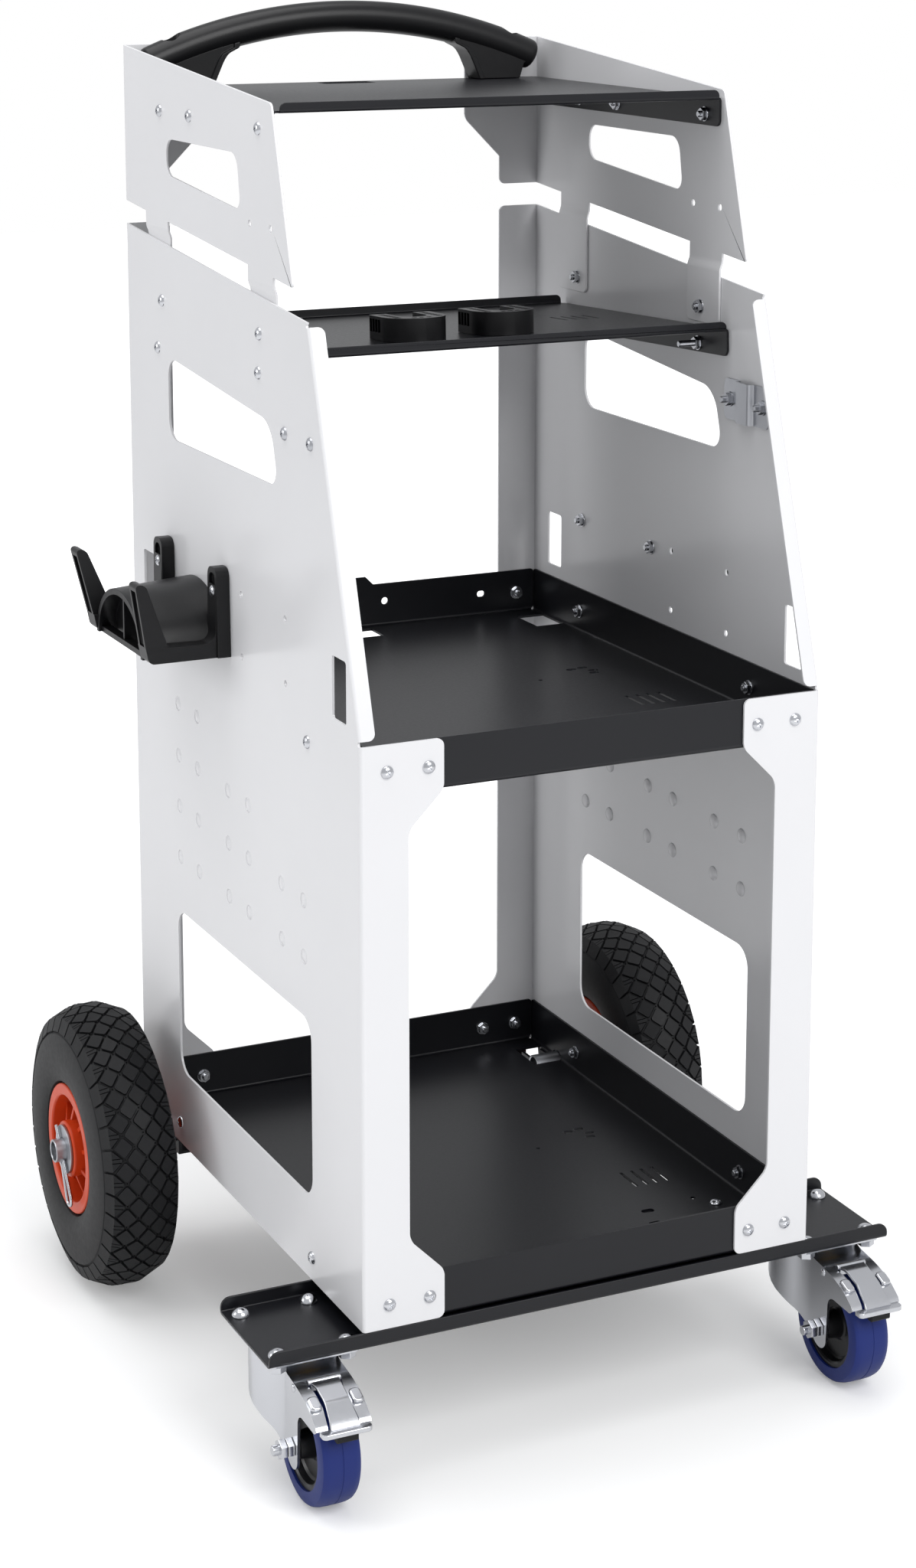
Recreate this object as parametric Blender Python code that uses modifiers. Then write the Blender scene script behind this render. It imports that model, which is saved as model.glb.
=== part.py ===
"""Charger cart: a sheet-metal stand on two pneumatic wheels and two braked swivel castors.

Two folded side panels, each carrying a bolted upper panel, hold a top shelf, a tilted middle shelf and
two trays. A channel across the front holds the castors and two stub axles at the back hold the wheels.
Units are metres. The cart faces -Y and stands on Z = 0. Lengths along Y start at the panels' front face.
"""

import math

import bmesh
import bpy
from mathutils import Matrix, Vector

# Sheet and clearances
SHEET = 0.002
GAP = 0.0003
BOLT_RADIUS = 0.003
HOLE_CLEARANCE = 0.0005
RELIEF = 0.004
RUNNING_CLEARANCE = 0.0001
SINK = 0.0002

# Side panels
BODY_WIDTH = 0.413
PANEL_DEPTH = 0.525
FRONT_HEIGHT = 0.484
SLANT_RUN = 0.099
SLANT_HEIGHT = 0.801
BACK_HEIGHT = 0.839
FLANGE = 0.041
FLANGE_EAR = 0.0715
EAR_HEIGHT = 0.041
SLANT_FLANGE = 0.014
OUTER_BOLT = 0.023
INNER_BOLT = 0.0585
WINDOW_RADIUS = 0.019
LOW_WINDOW_BOTTOM = 0.072
LOW_WINDOW_HEIGHT = 0.155
WINDOW_FRONT = 0.104
WINDOW_BACK = 0.105
HIGH_WINDOW_BOTTOM = 0.6595
HIGH_WINDOW_FRONT = 0.163
HIGH_WINDOW_RIM = 0.0975
SLOT_WIDTH = 0.028
SLOT_HEIGHT = 0.051
SLOT_RISE = 0.011
SLOT_SETBACK = 0.026
SLOT_BACK = 0.031
SPARE_HOLE = 0.003
SPARE_HOLE_FRONT = 0.152
SPARE_HOLE_SPACING = 0.098
SPARE_HOLE_RISE = 0.0045
SPARE_HOLE_PITCH = 0.054
EDGE_ROUND = 0.006

# Upper panels
PANEL_GAP = 0.021
UPPER_BACK_HEIGHT = 0.9977
UPPER_FRONT_HEIGHT = 0.9666
UPPER_TIP = 0.128
UPPER_FRONT = 0.170
UPPER_EAR = 0.0775
UPPER_EAR_HEIGHT = 0.075
LEG_WIDTH = 0.056
REAR_LEG = 0.415
JOGGLE = 0.006
LEG_BOTTOM = 0.766
UPPER_WINDOW_TOP = 0.922
UPPER_WINDOW_FRONT = 0.239
UPPER_WINDOW_SILL = 0.062
UPPER_WINDOW_LEAN = 0.008
UPPER_WINDOW_BACK = 0.1095
UPPER_WINDOW_RADIUS = 0.013
LEG_BOLT_RISE = 0.0135
FRONT_LEG_BOLT = 0.032
REAR_LEG_BOLT = 0.018

# Shelves and trays
TRAY_WALL = 0.042
TRAY_TAB_WIDTH = 0.048
TRAY_TAB_HEIGHT = 0.008
TRAY_BOLT_RISE = 0.020
SIDE_BOLT_SETBACK = 0.1065
REAR_BOLT_SETBACK = 0.1022
TOP_SHELF_RISE = 0.9603
TOP_SHELF_FLANGE = 0.024
TOP_BOLT_DROP = 0.0155
TOP_BOLT_FRONT = 0.028
TOP_BOLT_MIDDLE = 0.168
TOP_BOLT_BACK = 0.0945
SHELF_LIP = 0.0085
MIDDLE_SHELF_RISE = 0.7658
MIDDLE_SHELF_FRONT = 0.1505
MIDDLE_SHELF_DEPTH = 0.310
MIDDLE_SHELF_TILT = 2.5
MIDDLE_SHELF_FLANGE = 0.023
SHELF_BOLT_DROP = 0.0152
SHELF_BOLT_FRONT = 0.054
SHELF_BOLT_BACK = 0.0143
LONG_BOLT = 0.015
TRAY_SCREW_OFFSET = 0.00225
TRAY_SCREW_Y = 0.094
TRAY_CUT_WIDTH = 0.050
TRAY_CUT_DEPTH = 0.029
CORNER_CUT_WIDTH = 0.028
CORNER_CUT_DEPTH = 0.044
CABLE_SLOT = 0.003
CABLE_SLOT_LENGTH = 0.033
CABLE_SLOTS_X = (0.1255, 0.136, 0.146, 0.157)
TRAY_SLOTS_Y = 0.154
SHELF_SLOTS_Y = 0.152
TRAY_OVALS = ((0.125, 0.289), (0.140, 0.272))
LOWER_OVALS = ((0.109, 0.105),)
TOP_SLOT_DEPTH = 0.025

# Base channel and castors
BASE_LENGTH = 0.575
BASE_DEPTH = 0.110
BASE_SHEET = 0.0025
BASE_LIP = 0.0137
CASTOR_WHEEL_RADIUS = 0.050
CASTOR_WHEEL_WIDTH = 0.034
CASTOR_HEAD = 0.0197
CASTOR_TRAIL = 0.0535
CASTOR_PLATE_LENGTH = 0.105
CASTOR_PLATE_WIDTH = 0.085
CASTOR_PLATE_SHEET = 0.0036
CASTOR_HOLES_LONG = 0.080
CASTOR_HOLES_WIDE = 0.060
CASTOR_BOLT_RADIUS = 0.004
CASTOR_SIDES = 20
FORK_SHEET = 0.0025
FORK_WIDTH = 0.047
FORK_CROWN_RADIUS = 0.037
RACE_HEIGHT = 0.0043
RACE_RADIUS = 0.034
RACE_BORE = 0.016
KING_PIN_RADIUS = 0.0065
PEDAL_WIDTH = 0.025
PEDAL_LIP_WIDTH = 0.040
PEDAL_SHEET = 0.0025
PEDAL_PIN_DROP = 0.0022
BAND_DEPTH = 0.013

# Rear wheels
TYRE_RADIUS = 0.130
TYRE_WIDTH = 0.0755
WHEEL_SETBACK = 0.062
WHEEL_STANDOFF = 0.02445
RIM_RADIUS = 0.060
RIM_WIDTH = 0.0676
HUB_RADIUS = 0.0265
HUB_LENGTH = 0.072
AXLE_RADIUS = 0.01065
AXLE_WALL = 0.002
AXLE_PROUD = 0.012
AXLE_SIDES = 14
TYRE_SIDES = 28
RIM_SIDES = 20
RIM_FLANGE = 0.0042
RIM_STEP = 0.007
RIM_RIBS = 8
RIB_THICKNESS = 0.005
BUSH_WALL = 0.0045
WASHER_THICKNESS = 0.0022
HAIRPIN_RADIUS = 0.0016
HAIRPIN_LEAN = 35
BRACKET_SHEET = 0.003
BRACKET_INNER = 0.027
BRACKET_OUTER = 0.0075
NOTCH_REACH = 0.036
NOTCH_CLEARANCE = 0.0015

# Handle, hooks and rests
HANDLE_RADIUS = 0.014
HANDLE_SPAN = 0.382
HANDLE_SCREW_INSET = 0.024
HANDLE_ARCH = 0.0395
HANDLE_RISE = 0.0597
SUPPORT_INSET = 0.0595
SUPPORT_FOOT = 0.0425
HOOK_CENTRE = 0.170
HOOK_BOLT_RISE = 0.550
HOOK_BOLT_SPACING = 0.136
HOOK_REACH = 0.080
HOOK_FLOOR = 0.0115
HOOK_EAR = 0.026
HOOK_TOP = 0.021
HOOK_DROP = 0.056
HOOK_ARCH_RISE = 0.054
HOOK_ARCH_WALL = 0.006
HORN_WIDTH = 0.018
REST_LENGTH = 0.055
REST_WIDTH = 0.056
REST_HEIGHT = 0.020
REST_SLOT = 0.019
LEFT_REST = (-0.058, 0.050)
RIGHT_REST = (0.028, 0.058)
CLIP_SHEET = 0.0015
CLIP_BOLT_LEAD = 0.005
CLIP_BOLT_SPACING = 0.054
CLIP_BOLT_DROP = 0.095
CLIP_HEIGHT = 0.035
CLIP_HUMP = 0.005

# Heights and planes that follow from the sizes above
CASTOR_TOP = 2 * CASTOR_WHEEL_RADIUS + CASTOR_HEAD
BASE_BOTTOM = CASTOR_TOP + GAP
BODY_BOTTOM = BASE_BOTTOM + BASE_LIP + GAP
PANEL_FACE = BODY_WIDTH / 2
PANEL_MID = PANEL_FACE - SHEET / 2
INNER_MID = PANEL_MID - SHEET - GAP
FRONT_MID = SHEET / 2
BACK_MID = PANEL_DEPTH - SHEET / 2
WALL_FRONT = FRONT_MID + SHEET + GAP
WALL_BACK = BACK_MID - SHEET - GAP
WHEEL_Y = PANEL_DEPTH - WHEEL_SETBACK
WHEEL_X = PANEL_FACE + WHEEL_STANDOFF + TYRE_WIDTH / 2
AXLE_END = WHEEL_X + HUB_LENGTH / 2 + AXLE_PROUD
BASE_FRONT = -BASE_SHEET / 5
BASE_MID_Y = BASE_FRONT + BASE_DEPTH / 2
CASTOR_X = BASE_LENGTH / 2 - CASTOR_PLATE_WIDTH / 2
PLATE_EDGE = CASTOR_X - CASTOR_PLATE_WIDTH / 2
EAR_EDGE = PANEL_FACE - FLANGE_EAR
TRAY_SCREW_X = (PLATE_EDGE + EAR_EDGE) / 2 + TRAY_SCREW_OFFSET
MIDDLE_TRAY_RISE = FRONT_HEIGHT - TRAY_WALL
PEDAL_REACH = CASTOR_TRAIL + 1.22 * CASTOR_WHEEL_RADIUS
FRONT_END = BASE_MID_Y - PEDAL_REACH
BACK_END = WHEEL_Y + TYRE_RADIUS
BOLT_HOLE = BOLT_RADIUS + HOLE_CLEARANCE
SHEET_PAIR = 2 * SHEET + GAP
HANDLE_Y = PANEL_DEPTH - SHEET - GAP - 1.05 * HANDLE_RADIUS
HANDLE_SCREW_X = HANDLE_SPAN / 2 - HANDLE_SCREW_INSET
SUPPORT_INNER = HANDLE_SPAN / 2 - SUPPORT_INSET
HANDLE_TOP = BODY_BOTTOM + TOP_SHELF_RISE + HANDLE_RISE
HANDLE_BEND = ((HANDLE_SPAN / 2) ** 2 + HANDLE_ARCH ** 2) / (2 * HANDLE_ARCH)
FORK_TOP = CASTOR_TOP - CASTOR_PLATE_SHEET - RACE_HEIGHT
NOSE = 1.03 * CASTOR_WHEEL_RADIUS
PEDAL_PIN = (-CASTOR_TRAIL - 0.08 * CASTOR_WHEEL_RADIUS, 2 * CASTOR_WHEEL_RADIUS + PEDAL_PIN_DROP)
SIDES = (("left", -1), ("right", 1))
RIGHT = Vector((1, 0, 0))
BACK = Vector((0, 1, 0))
UP = Vector((0, 0, 1))


def fresh_scene():
    """Empty the scene and make the collections and the cart's origin."""
    for item in list(bpy.data.objects):
        bpy.data.objects.remove(item)
    parts = bpy.data.collections.new("charger_cart")
    cutters = bpy.data.collections.new("cutters")
    for group in (parts, cutters):
        bpy.context.scene.collection.children.link(group)
    origin = bpy.data.objects.new("cart_origin", None)
    origin.location.y = -(FRONT_END + BACK_END) / 2
    parts.objects.link(origin)
    return parts, cutters, origin


PARTS, CUTTERS, ORIGIN = fresh_scene()


def look(name, colour, roughness, metallic=0.0):
    """A plain Principled material."""
    made = bpy.data.materials.new(name)
    made.use_nodes = True
    shader = made.node_tree.nodes["Principled BSDF"]
    shader.inputs["Base Color"].default_value = (*colour, 1.0)
    shader.inputs["Roughness"].default_value = roughness
    shader.inputs["Metallic"].default_value = metallic
    return made


COATED = look("grey_white_coat", (0.74, 0.74, 0.73), 0.45)
BLACK_COAT = look("black_coat", (0.022, 0.023, 0.026), 0.55)
PLASTIC = look("black_plastic", (0.012, 0.012, 0.013), 0.5)
ZINC = look("zinc_plate", (0.62, 0.63, 0.65), 0.3, 1.0)
PASSIVATED = look("yellow_passivated", (0.55, 0.40, 0.14), 0.35, 1.0)
RUBBER = look("tyre_rubber", (0.02, 0.02, 0.021), 0.75)
RIM_PAINT = look("orange_red_rim", (0.70, 0.07, 0.012), 0.4)
BLUE_TREAD = look("blue_tread", (0.012, 0.035, 0.30), 0.5)


def basis(origin, across, along):
    """Matrix that carries the XY plane to the plane of two directions at a point."""
    across = Vector(across)
    along = Vector(along)
    turned = Matrix((across, along, across.cross(along))).transposed().to_4x4()
    return Matrix.Translation(origin) @ turned


def rectangle(low, high):
    """Corners of a rectangle between two opposite corners."""
    return [low, (high[0], low[1]), high, (low[0], high[1])]


def ring(centre, radius, sides):
    """Points of a regular polygon round a centre."""
    turns = [2 * math.pi * (k + 0.5) / sides for k in range(sides)]
    return [(centre[0] + radius * math.cos(t), centre[1] + radius * math.sin(t)) for t in turns]


def rounded(corners, radius, steps=3, only=None):
    """Polygon with its corners (all, or those numbered in only) turned to arcs."""
    points = []
    for k, corner in enumerate(corners):
        if only is not None and k not in only:
            points.append(corner)
            continue
        here = Vector(corner)
        before = (Vector(corners[k - 1]) - here).normalized()
        after = (Vector(corners[(k + 1) % len(corners)]) - here).normalized()
        half = before.angle(after) / 2
        centre = here + (before + after).normalized() * radius / math.sin(half)
        start = here + before * radius / math.tan(half) - centre
        sweep = start.angle_signed(here + after * radius / math.tan(half) - centre)
        for step in range(steps + 1):
            spoke = start.copy()
            spoke.rotate(Matrix.Rotation(-sweep * step / steps, 2))
            points.append(tuple(centre + spoke))
    return points


def clean(mesh, matrix=None, even=False):
    """Weld a mesh, move it into place and point its faces out; even ones get well-shaped triangles."""
    work = bmesh.new()
    work.from_mesh(mesh)
    bmesh.ops.remove_doubles(work, verts=work.verts, dist=0.000002)
    if even:
        bmesh.ops.beautify_fill(work, faces=work.faces, edges=work.edges)
    if matrix is not None:
        bmesh.ops.transform(work, matrix=matrix, verts=work.verts)
    bmesh.ops.recalc_face_normals(work, faces=work.faces)
    work.to_mesh(mesh)
    work.free()
    return mesh


def baked(data, modifier=None, settings=None):
    """Mesh of a curve, or of a mesh with one modifier, as Blender evaluates it."""
    holder = bpy.data.objects.new("holder", data)
    PARTS.objects.link(holder)
    if modifier:
        added = holder.modifiers.new("shape", modifier)
        for key, value in settings.items():
            setattr(added, key, value)
    graph = bpy.context.evaluated_depsgraph_get()
    mesh = bpy.data.meshes.new_from_object(holder.evaluated_get(graph))
    bpy.data.objects.remove(holder)
    return mesh


def filled(loops, thickness=0.0, matrix=None):
    """Flat outline, with inner outlines as holes, raised to a plate of the given thickness."""
    curve = bpy.data.curves.new("outline", "CURVE")
    curve.dimensions = "2D"
    curve.fill_mode = "BOTH"
    curve.extrude = thickness / 2
    for loop in loops:
        spline = curve.splines.new("POLY")
        spline.points.add(len(loop) - 1)
        for point, (a, b) in zip(spline.points, loop):
            point.co = (a, b, 0.0, 1.0)
        spline.use_cyclic_u = True
    return clean(baked(curve), matrix, even=thickness == 0.0)


def turned(profile, sides, matrix=None, closed=False):
    """Turn a profile of (radius, height) points round Z; a closed one makes a ring."""
    mesh = bpy.data.meshes.new("profile")
    count = len(profile)
    edges = [(k, (k + 1) % count) for k in range(count if closed else count - 1)]
    mesh.from_pydata([(r, 0, z) for r, z in profile], edges, [])
    settings = {"axis": "Z", "steps": sides, "render_steps": sides, "use_merge_vertices": True,
                "merge_threshold": 0.000005}
    return clean(baked(mesh, "SCREW", settings), matrix)


def washer(inner, outer, low, high, sides, matrix=None):
    """Plain ring between two radii and two heights."""
    return turned([(outer, high), (outer, low), (inner, low), (inner, high)], sides, matrix, closed=True)


def running_bore(radius, sides):
    """Radius of a bore of so many sides that turns freely on a shaft."""
    return (radius + RUNNING_CLEARANCE) / math.cos(math.pi / sides)


def rod(radius, low, high, sides, matrix=None):
    """Plain round bar along Z."""
    return turned([(0, high), (radius, high), (radius, low), (0, low)], sides, matrix)


def swept(points, radius, resolution):
    """Round bar along a path of points, with flat ends."""
    curve = bpy.data.curves.new("path", "CURVE")
    curve.dimensions = "3D"
    curve.bevel_depth = radius
    curve.bevel_resolution = resolution
    curve.use_fill_caps = True
    spline = curve.splines.new("POLY")
    spline.points.add(len(points) - 1)
    for point, place in zip(spline.points, points):
        point.co = (*place, 1.0)
    return clean(baked(curve))


def joined(meshes):
    """One mesh holding several, still as separate bodies."""
    work = bmesh.new()
    for mesh in meshes:
        work.from_mesh(mesh)
    made = bpy.data.meshes.new("group")
    work.to_mesh(made)
    work.free()
    return made


def node(name, mesh, surface, parent=ORIGIN, place=(0, 0, 0)):
    """Named sub-part with its own material, shaded smooth up to its sharp edges."""
    mesh.name = name
    mesh.materials.clear()
    mesh.materials.append(surface)
    mesh.shade_smooth()
    mesh.set_sharp_from_angle(angle=math.radians(35))
    made = bpy.data.objects.new(name, mesh)
    made.parent = parent
    made.location = place
    PARTS.objects.link(made)
    return made


def shape(target, operation, mesh):
    """Join a mesh to a sub-part, cut it away or keep only what they share."""
    tool = bpy.data.objects.new(target.name + "_" + operation.lower(), mesh)
    tool.parent = target.parent
    tool.location = target.location
    tool.hide_render = True
    tool.display_type = "WIRE"
    CUTTERS.objects.link(tool)
    tool.hide_set(True)
    change = target.modifiers.new(operation.lower(), "BOOLEAN")
    change.operation = operation
    change.solver = "EXACT"
    change.object = tool


def folded(name, faces, thickness, surface):
    """Sheet-metal piece: flat faces that share their bend lines, given an even thickness."""
    work = bmesh.new()
    for matrix, loops in faces:
        work.from_mesh(filled(loops, 0.0, matrix))
    bmesh.ops.remove_doubles(work, verts=work.verts, dist=0.00002)
    bmesh.ops.recalc_face_normals(work, faces=work.faces)
    mesh = bpy.data.meshes.new(name)
    work.to_mesh(mesh)
    work.free()
    made = node(name, mesh, surface)
    skin = made.modifiers.new("sheet", "SOLIDIFY")
    skin.thickness = thickness
    skin.offset = 0.0
    skin.solidify_mode = "NON_MANIFOLD"
    skin.nonmanifold_thickness_mode = "CONSTRAINTS"
    skin.nonmanifold_merge_threshold = 0.000005
    return made


def empty(name, parent, place):
    """Pivot that moving pieces hang from."""
    made = bpy.data.objects.new(name, None)
    made.parent = parent
    made.location = place
    PARTS.objects.link(made)
    return made


def facing(point, direction):
    """Matrix that carries +Z to a direction at a point."""
    return Matrix.Translation(point) @ Vector(direction).to_track_quat("Z", "Y").to_matrix().to_4x4()


def bolt(point, outward, grip, head_gap, nut_gap, radius=BOLT_RADIUS, spare=0.0):
    """Pan-head bolt with its nut, as one solid: the head sits on a point and the nut a grip inward.

    A gap below zero sinks that end into the sheet that carries the bolt.
    """
    head = 1.85 * radius
    crown = 1.05 * radius
    seat = -grip - nut_gap
    end = seat - 1.5 * radius
    profile = [(0, crown), (1.25 * radius, 0.85 * crown), (head, head_gap), (radius, head_gap),
               (radius, seat), (head, seat), (head, end)]
    if spare:
        profile += [(radius, end), (radius, end - spare), (0, end - spare)]
    else:
        profile.append((0, end))
    return turned(profile, 6, facing(point, outward))


def top_edge(y):
    """Height of the lower panel's sloping top edge above its bottom."""
    slope = (BACK_HEIGHT - SLANT_HEIGHT) / (PANEL_DEPTH - SLANT_RUN)
    return SLANT_HEIGHT + slope * (y - SLANT_RUN)


def bolt_holes(places, sides=6):
    """Clearance holes for the cart's bolts."""
    return [ring(place, BOLT_HOLE, sides) for place in places]


# Middle shelf plane: across, along and out of its tilted deck
TILT = math.radians(MIDDLE_SHELF_TILT)
DECK_ALONG = Vector((0, math.cos(TILT), -math.sin(TILT)))
DECK_OUT = Vector((0, math.sin(TILT), math.cos(TILT)))
DECK_ORIGIN = Vector((0, MIDDLE_SHELF_FRONT, BODY_BOTTOM + MIDDLE_SHELF_RISE - SHEET / 2))


def deck_point(x, along, out):
    """Point on the middle shelf, from its front edge and its sheet's middle."""
    return DECK_ORIGIN + RIGHT * x + DECK_ALONG * along + DECK_OUT * out


SHELF_BOLTS = [deck_point(INNER_MID, s, -SHELF_BOLT_DROP) for s in
               (SHELF_BOLT_FRONT, MIDDLE_SHELF_DEPTH - SHELF_BOLT_BACK)]
LEGS = [(UPPER_FRONT - SHEET / 2, UPPER_FRONT - SHEET / 2 + LEG_WIDTH),
        (REAR_LEG, REAR_LEG + LEG_WIDTH)]
LEG_BOLTS = [(LEGS[0][0] + FRONT_LEG_BOLT, LEG_BOTTOM + LEG_BOLT_RISE),
             (LEGS[1][0] + REAR_LEG_BOLT, LEG_BOTTOM + LEG_BOLT_RISE)]
TOP_SHELF_BOLTS = [(y, TOP_SHELF_RISE - TOP_BOLT_DROP) for y in
                   (UPPER_FRONT + TOP_BOLT_FRONT, PANEL_DEPTH - TOP_BOLT_MIDDLE, PANEL_DEPTH - TOP_BOLT_BACK)]
TRAY_SIDE_BOLTS = [SIDE_BOLT_SETBACK, PANEL_DEPTH - REAR_BOLT_SETBACK]
CLIP_BOLTS = [(SLANT_RUN - CLIP_BOLT_LEAD + offset, SLANT_HEIGHT - CLIP_BOLT_DROP)
              for offset in (0, CLIP_BOLT_SPACING)]
HOOK_Y = PANEL_DEPTH - HOOK_CENTRE
HOOK_BOLTS = [(HOOK_Y + sy * HOOK_BOLT_SPACING / 2, HOOK_BOLT_RISE) for sy in (-1, 1)]


def panel_side_holes():
    """Windows, slots and bolt holes of a lower panel's flat side, as (depth, height) outlines."""
    back = PANEL_DEPTH - WINDOW_BACK
    low = rounded(rectangle((WINDOW_FRONT, LOW_WINDOW_BOTTOM),
                            (back, LOW_WINDOW_BOTTOM + LOW_WINDOW_HEIGHT)), WINDOW_RADIUS)
    lean = SLANT_RUN / (SLANT_HEIGHT - FRONT_HEIGHT)
    front, rim = HIGH_WINDOW_FRONT, HIGH_WINDOW_RIM
    high = [(front, HIGH_WINDOW_BOTTOM), (back, HIGH_WINDOW_BOTTOM), (back, top_edge(back) - rim)]
    top_front = front + lean * (top_edge(front) - rim - HIGH_WINDOW_BOTTOM)
    high.append((top_front, top_edge(top_front) - rim))
    slots = []
    floor = FRONT_HEIGHT + SLOT_RISE
    for y in (SLOT_SETBACK, PANEL_DEPTH - SLOT_BACK - SLOT_WIDTH):
        slots.append(rounded(rectangle((y, floor), (y + SLOT_WIDTH, floor + SLOT_HEIGHT)), SLOT_WIDTH / 7, 1))
    across = (SPARE_HOLE_FRONT, SPARE_HOLE_FRONT + SPARE_HOLE_SPACING)
    low_hole = floor + SPARE_HOLE_RISE
    spare = [ring((y, h), SPARE_HOLE, 6) for y in across for h in (low_hole, low_hole + SPARE_HOLE_PITCH)]
    return [low, rounded(high, WINDOW_RADIUS)] + slots + spare + bolt_holes(CLIP_BOLTS + HOOK_BOLTS)


def lower_panel(name, side):
    """Lower side panel with front, back and slanted flanges folded inward."""
    lean = math.atan2(SLANT_RUN - FRONT_MID, SLANT_HEIGHT - FRONT_HEIGHT)
    slope = Vector((0, math.sin(lean), math.cos(lean)))
    length = (SLANT_HEIGHT - FRONT_HEIGHT) / math.cos(lean)
    start, end = RELIEF, length - RELIEF
    corner = Vector((side * PANEL_MID, FRONT_MID, BODY_BOTTOM + FRONT_HEIGHT))

    def on_slant(s):
        return (FRONT_MID + s * slope.y, FRONT_HEIGHT + s * slope.z)

    outline = [(FRONT_MID, 0), (BACK_MID, 0), (BACK_MID, BACK_HEIGHT), (SLANT_RUN, SLANT_HEIGHT),
               on_slant(end), on_slant(start), (FRONT_MID, FRONT_HEIGHT)]
    flat = basis((side * PANEL_MID, 0, BODY_BOTTOM), BACK, UP)
    inward = -side * RIGHT
    width, ear = FLANGE - SHEET / 2, FLANGE_EAR - SHEET / 2
    cut = ear - width
    foot = [(0, 0), (ear, 0), (ear, EAR_HEIGHT), (width, EAR_HEIGHT + cut)]
    front = foot + [(width, FRONT_HEIGHT - EAR_HEIGHT - cut), (ear, FRONT_HEIGHT - EAR_HEIGHT),
                    (ear, FRONT_HEIGHT), (0, FRONT_HEIGHT)]
    back = foot + [(width, BACK_HEIGHT), (0, BACK_HEIGHT)]
    outer, inner = OUTER_BOLT - SHEET / 2, INNER_BOLT - SHEET / 2
    back_holes = bolt_holes([(outer, TRAY_BOLT_RISE), (inner, TRAY_BOLT_RISE)])
    strip = rounded(rectangle((start, 0), (end, SLANT_FLANGE - SHEET / 2)), EDGE_ROUND, 2, only=(2, 3))
    faces = [
        (flat, [outline] + panel_side_holes()),
        (basis((side * PANEL_MID, FRONT_MID, BODY_BOTTOM), inward, UP),
         [rounded(front, EDGE_ROUND, 2, only=(1, 2, 5, 6))]),
        (basis((side * PANEL_MID, BACK_MID, BODY_BOTTOM), inward, UP),
         [rounded(back, EDGE_ROUND, 2, only=(1, 2, 4))] + back_holes),
        (basis(corner, slope, inward), [strip]),
    ]
    made = folded(name, faces, SHEET, COATED)
    shape(made, "UNION", joined(lower_panel_bolts(side)))
    shape(made, "DIFFERENCE", axle_notch(side))


def lower_panel_bolts(side):
    """Bolts that a lower panel carries for its trays, the middle shelf and the upper panel's legs."""
    out = side * RIGHT
    places = list(LEG_BOLTS)
    for y in TRAY_SIDE_BOLTS:
        places += [(y, TRAY_BOLT_RISE), (y, MIDDLE_TRAY_RISE + TRAY_BOLT_RISE)]
    made = [bolt((side * PANEL_FACE, y, BODY_BOTTOM + h), out, SHEET_PAIR, -SINK, GAP) for y, h in places]
    for place, spare in zip(SHELF_BOLTS, (LONG_BOLT, 0.0)):
        made.append(bolt((side * PANEL_FACE, place.y, place.z), out, SHEET_PAIR, -SINK, GAP, spare=spare))
    low = BODY_BOTTOM + TRAY_BOLT_RISE
    high = low + MIDDLE_TRAY_RISE
    for setback in (OUTER_BOLT, INNER_BOLT):
        for level in (low, high):
            made.append(bolt((side * (PANEL_FACE - setback), 0, level), -BACK, SHEET_PAIR, -SINK, GAP))
    made.append(bolt((side * (PANEL_FACE - OUTER_BOLT), PANEL_DEPTH, high), BACK, SHEET_PAIR, -SINK, GAP))
    return made


def axle_notch(side):
    """Half-round clearance for the axle tube in the panel and tray above it."""
    across = facing((side * (PANEL_FACE - NOTCH_REACH), WHEEL_Y, TYRE_RADIUS), side * RIGHT)
    return rod(AXLE_RADIUS + NOTCH_CLEARANCE, 0, NOTCH_REACH + WHEEL_STANDOFF / 2, AXLE_SIDES, across)


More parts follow.
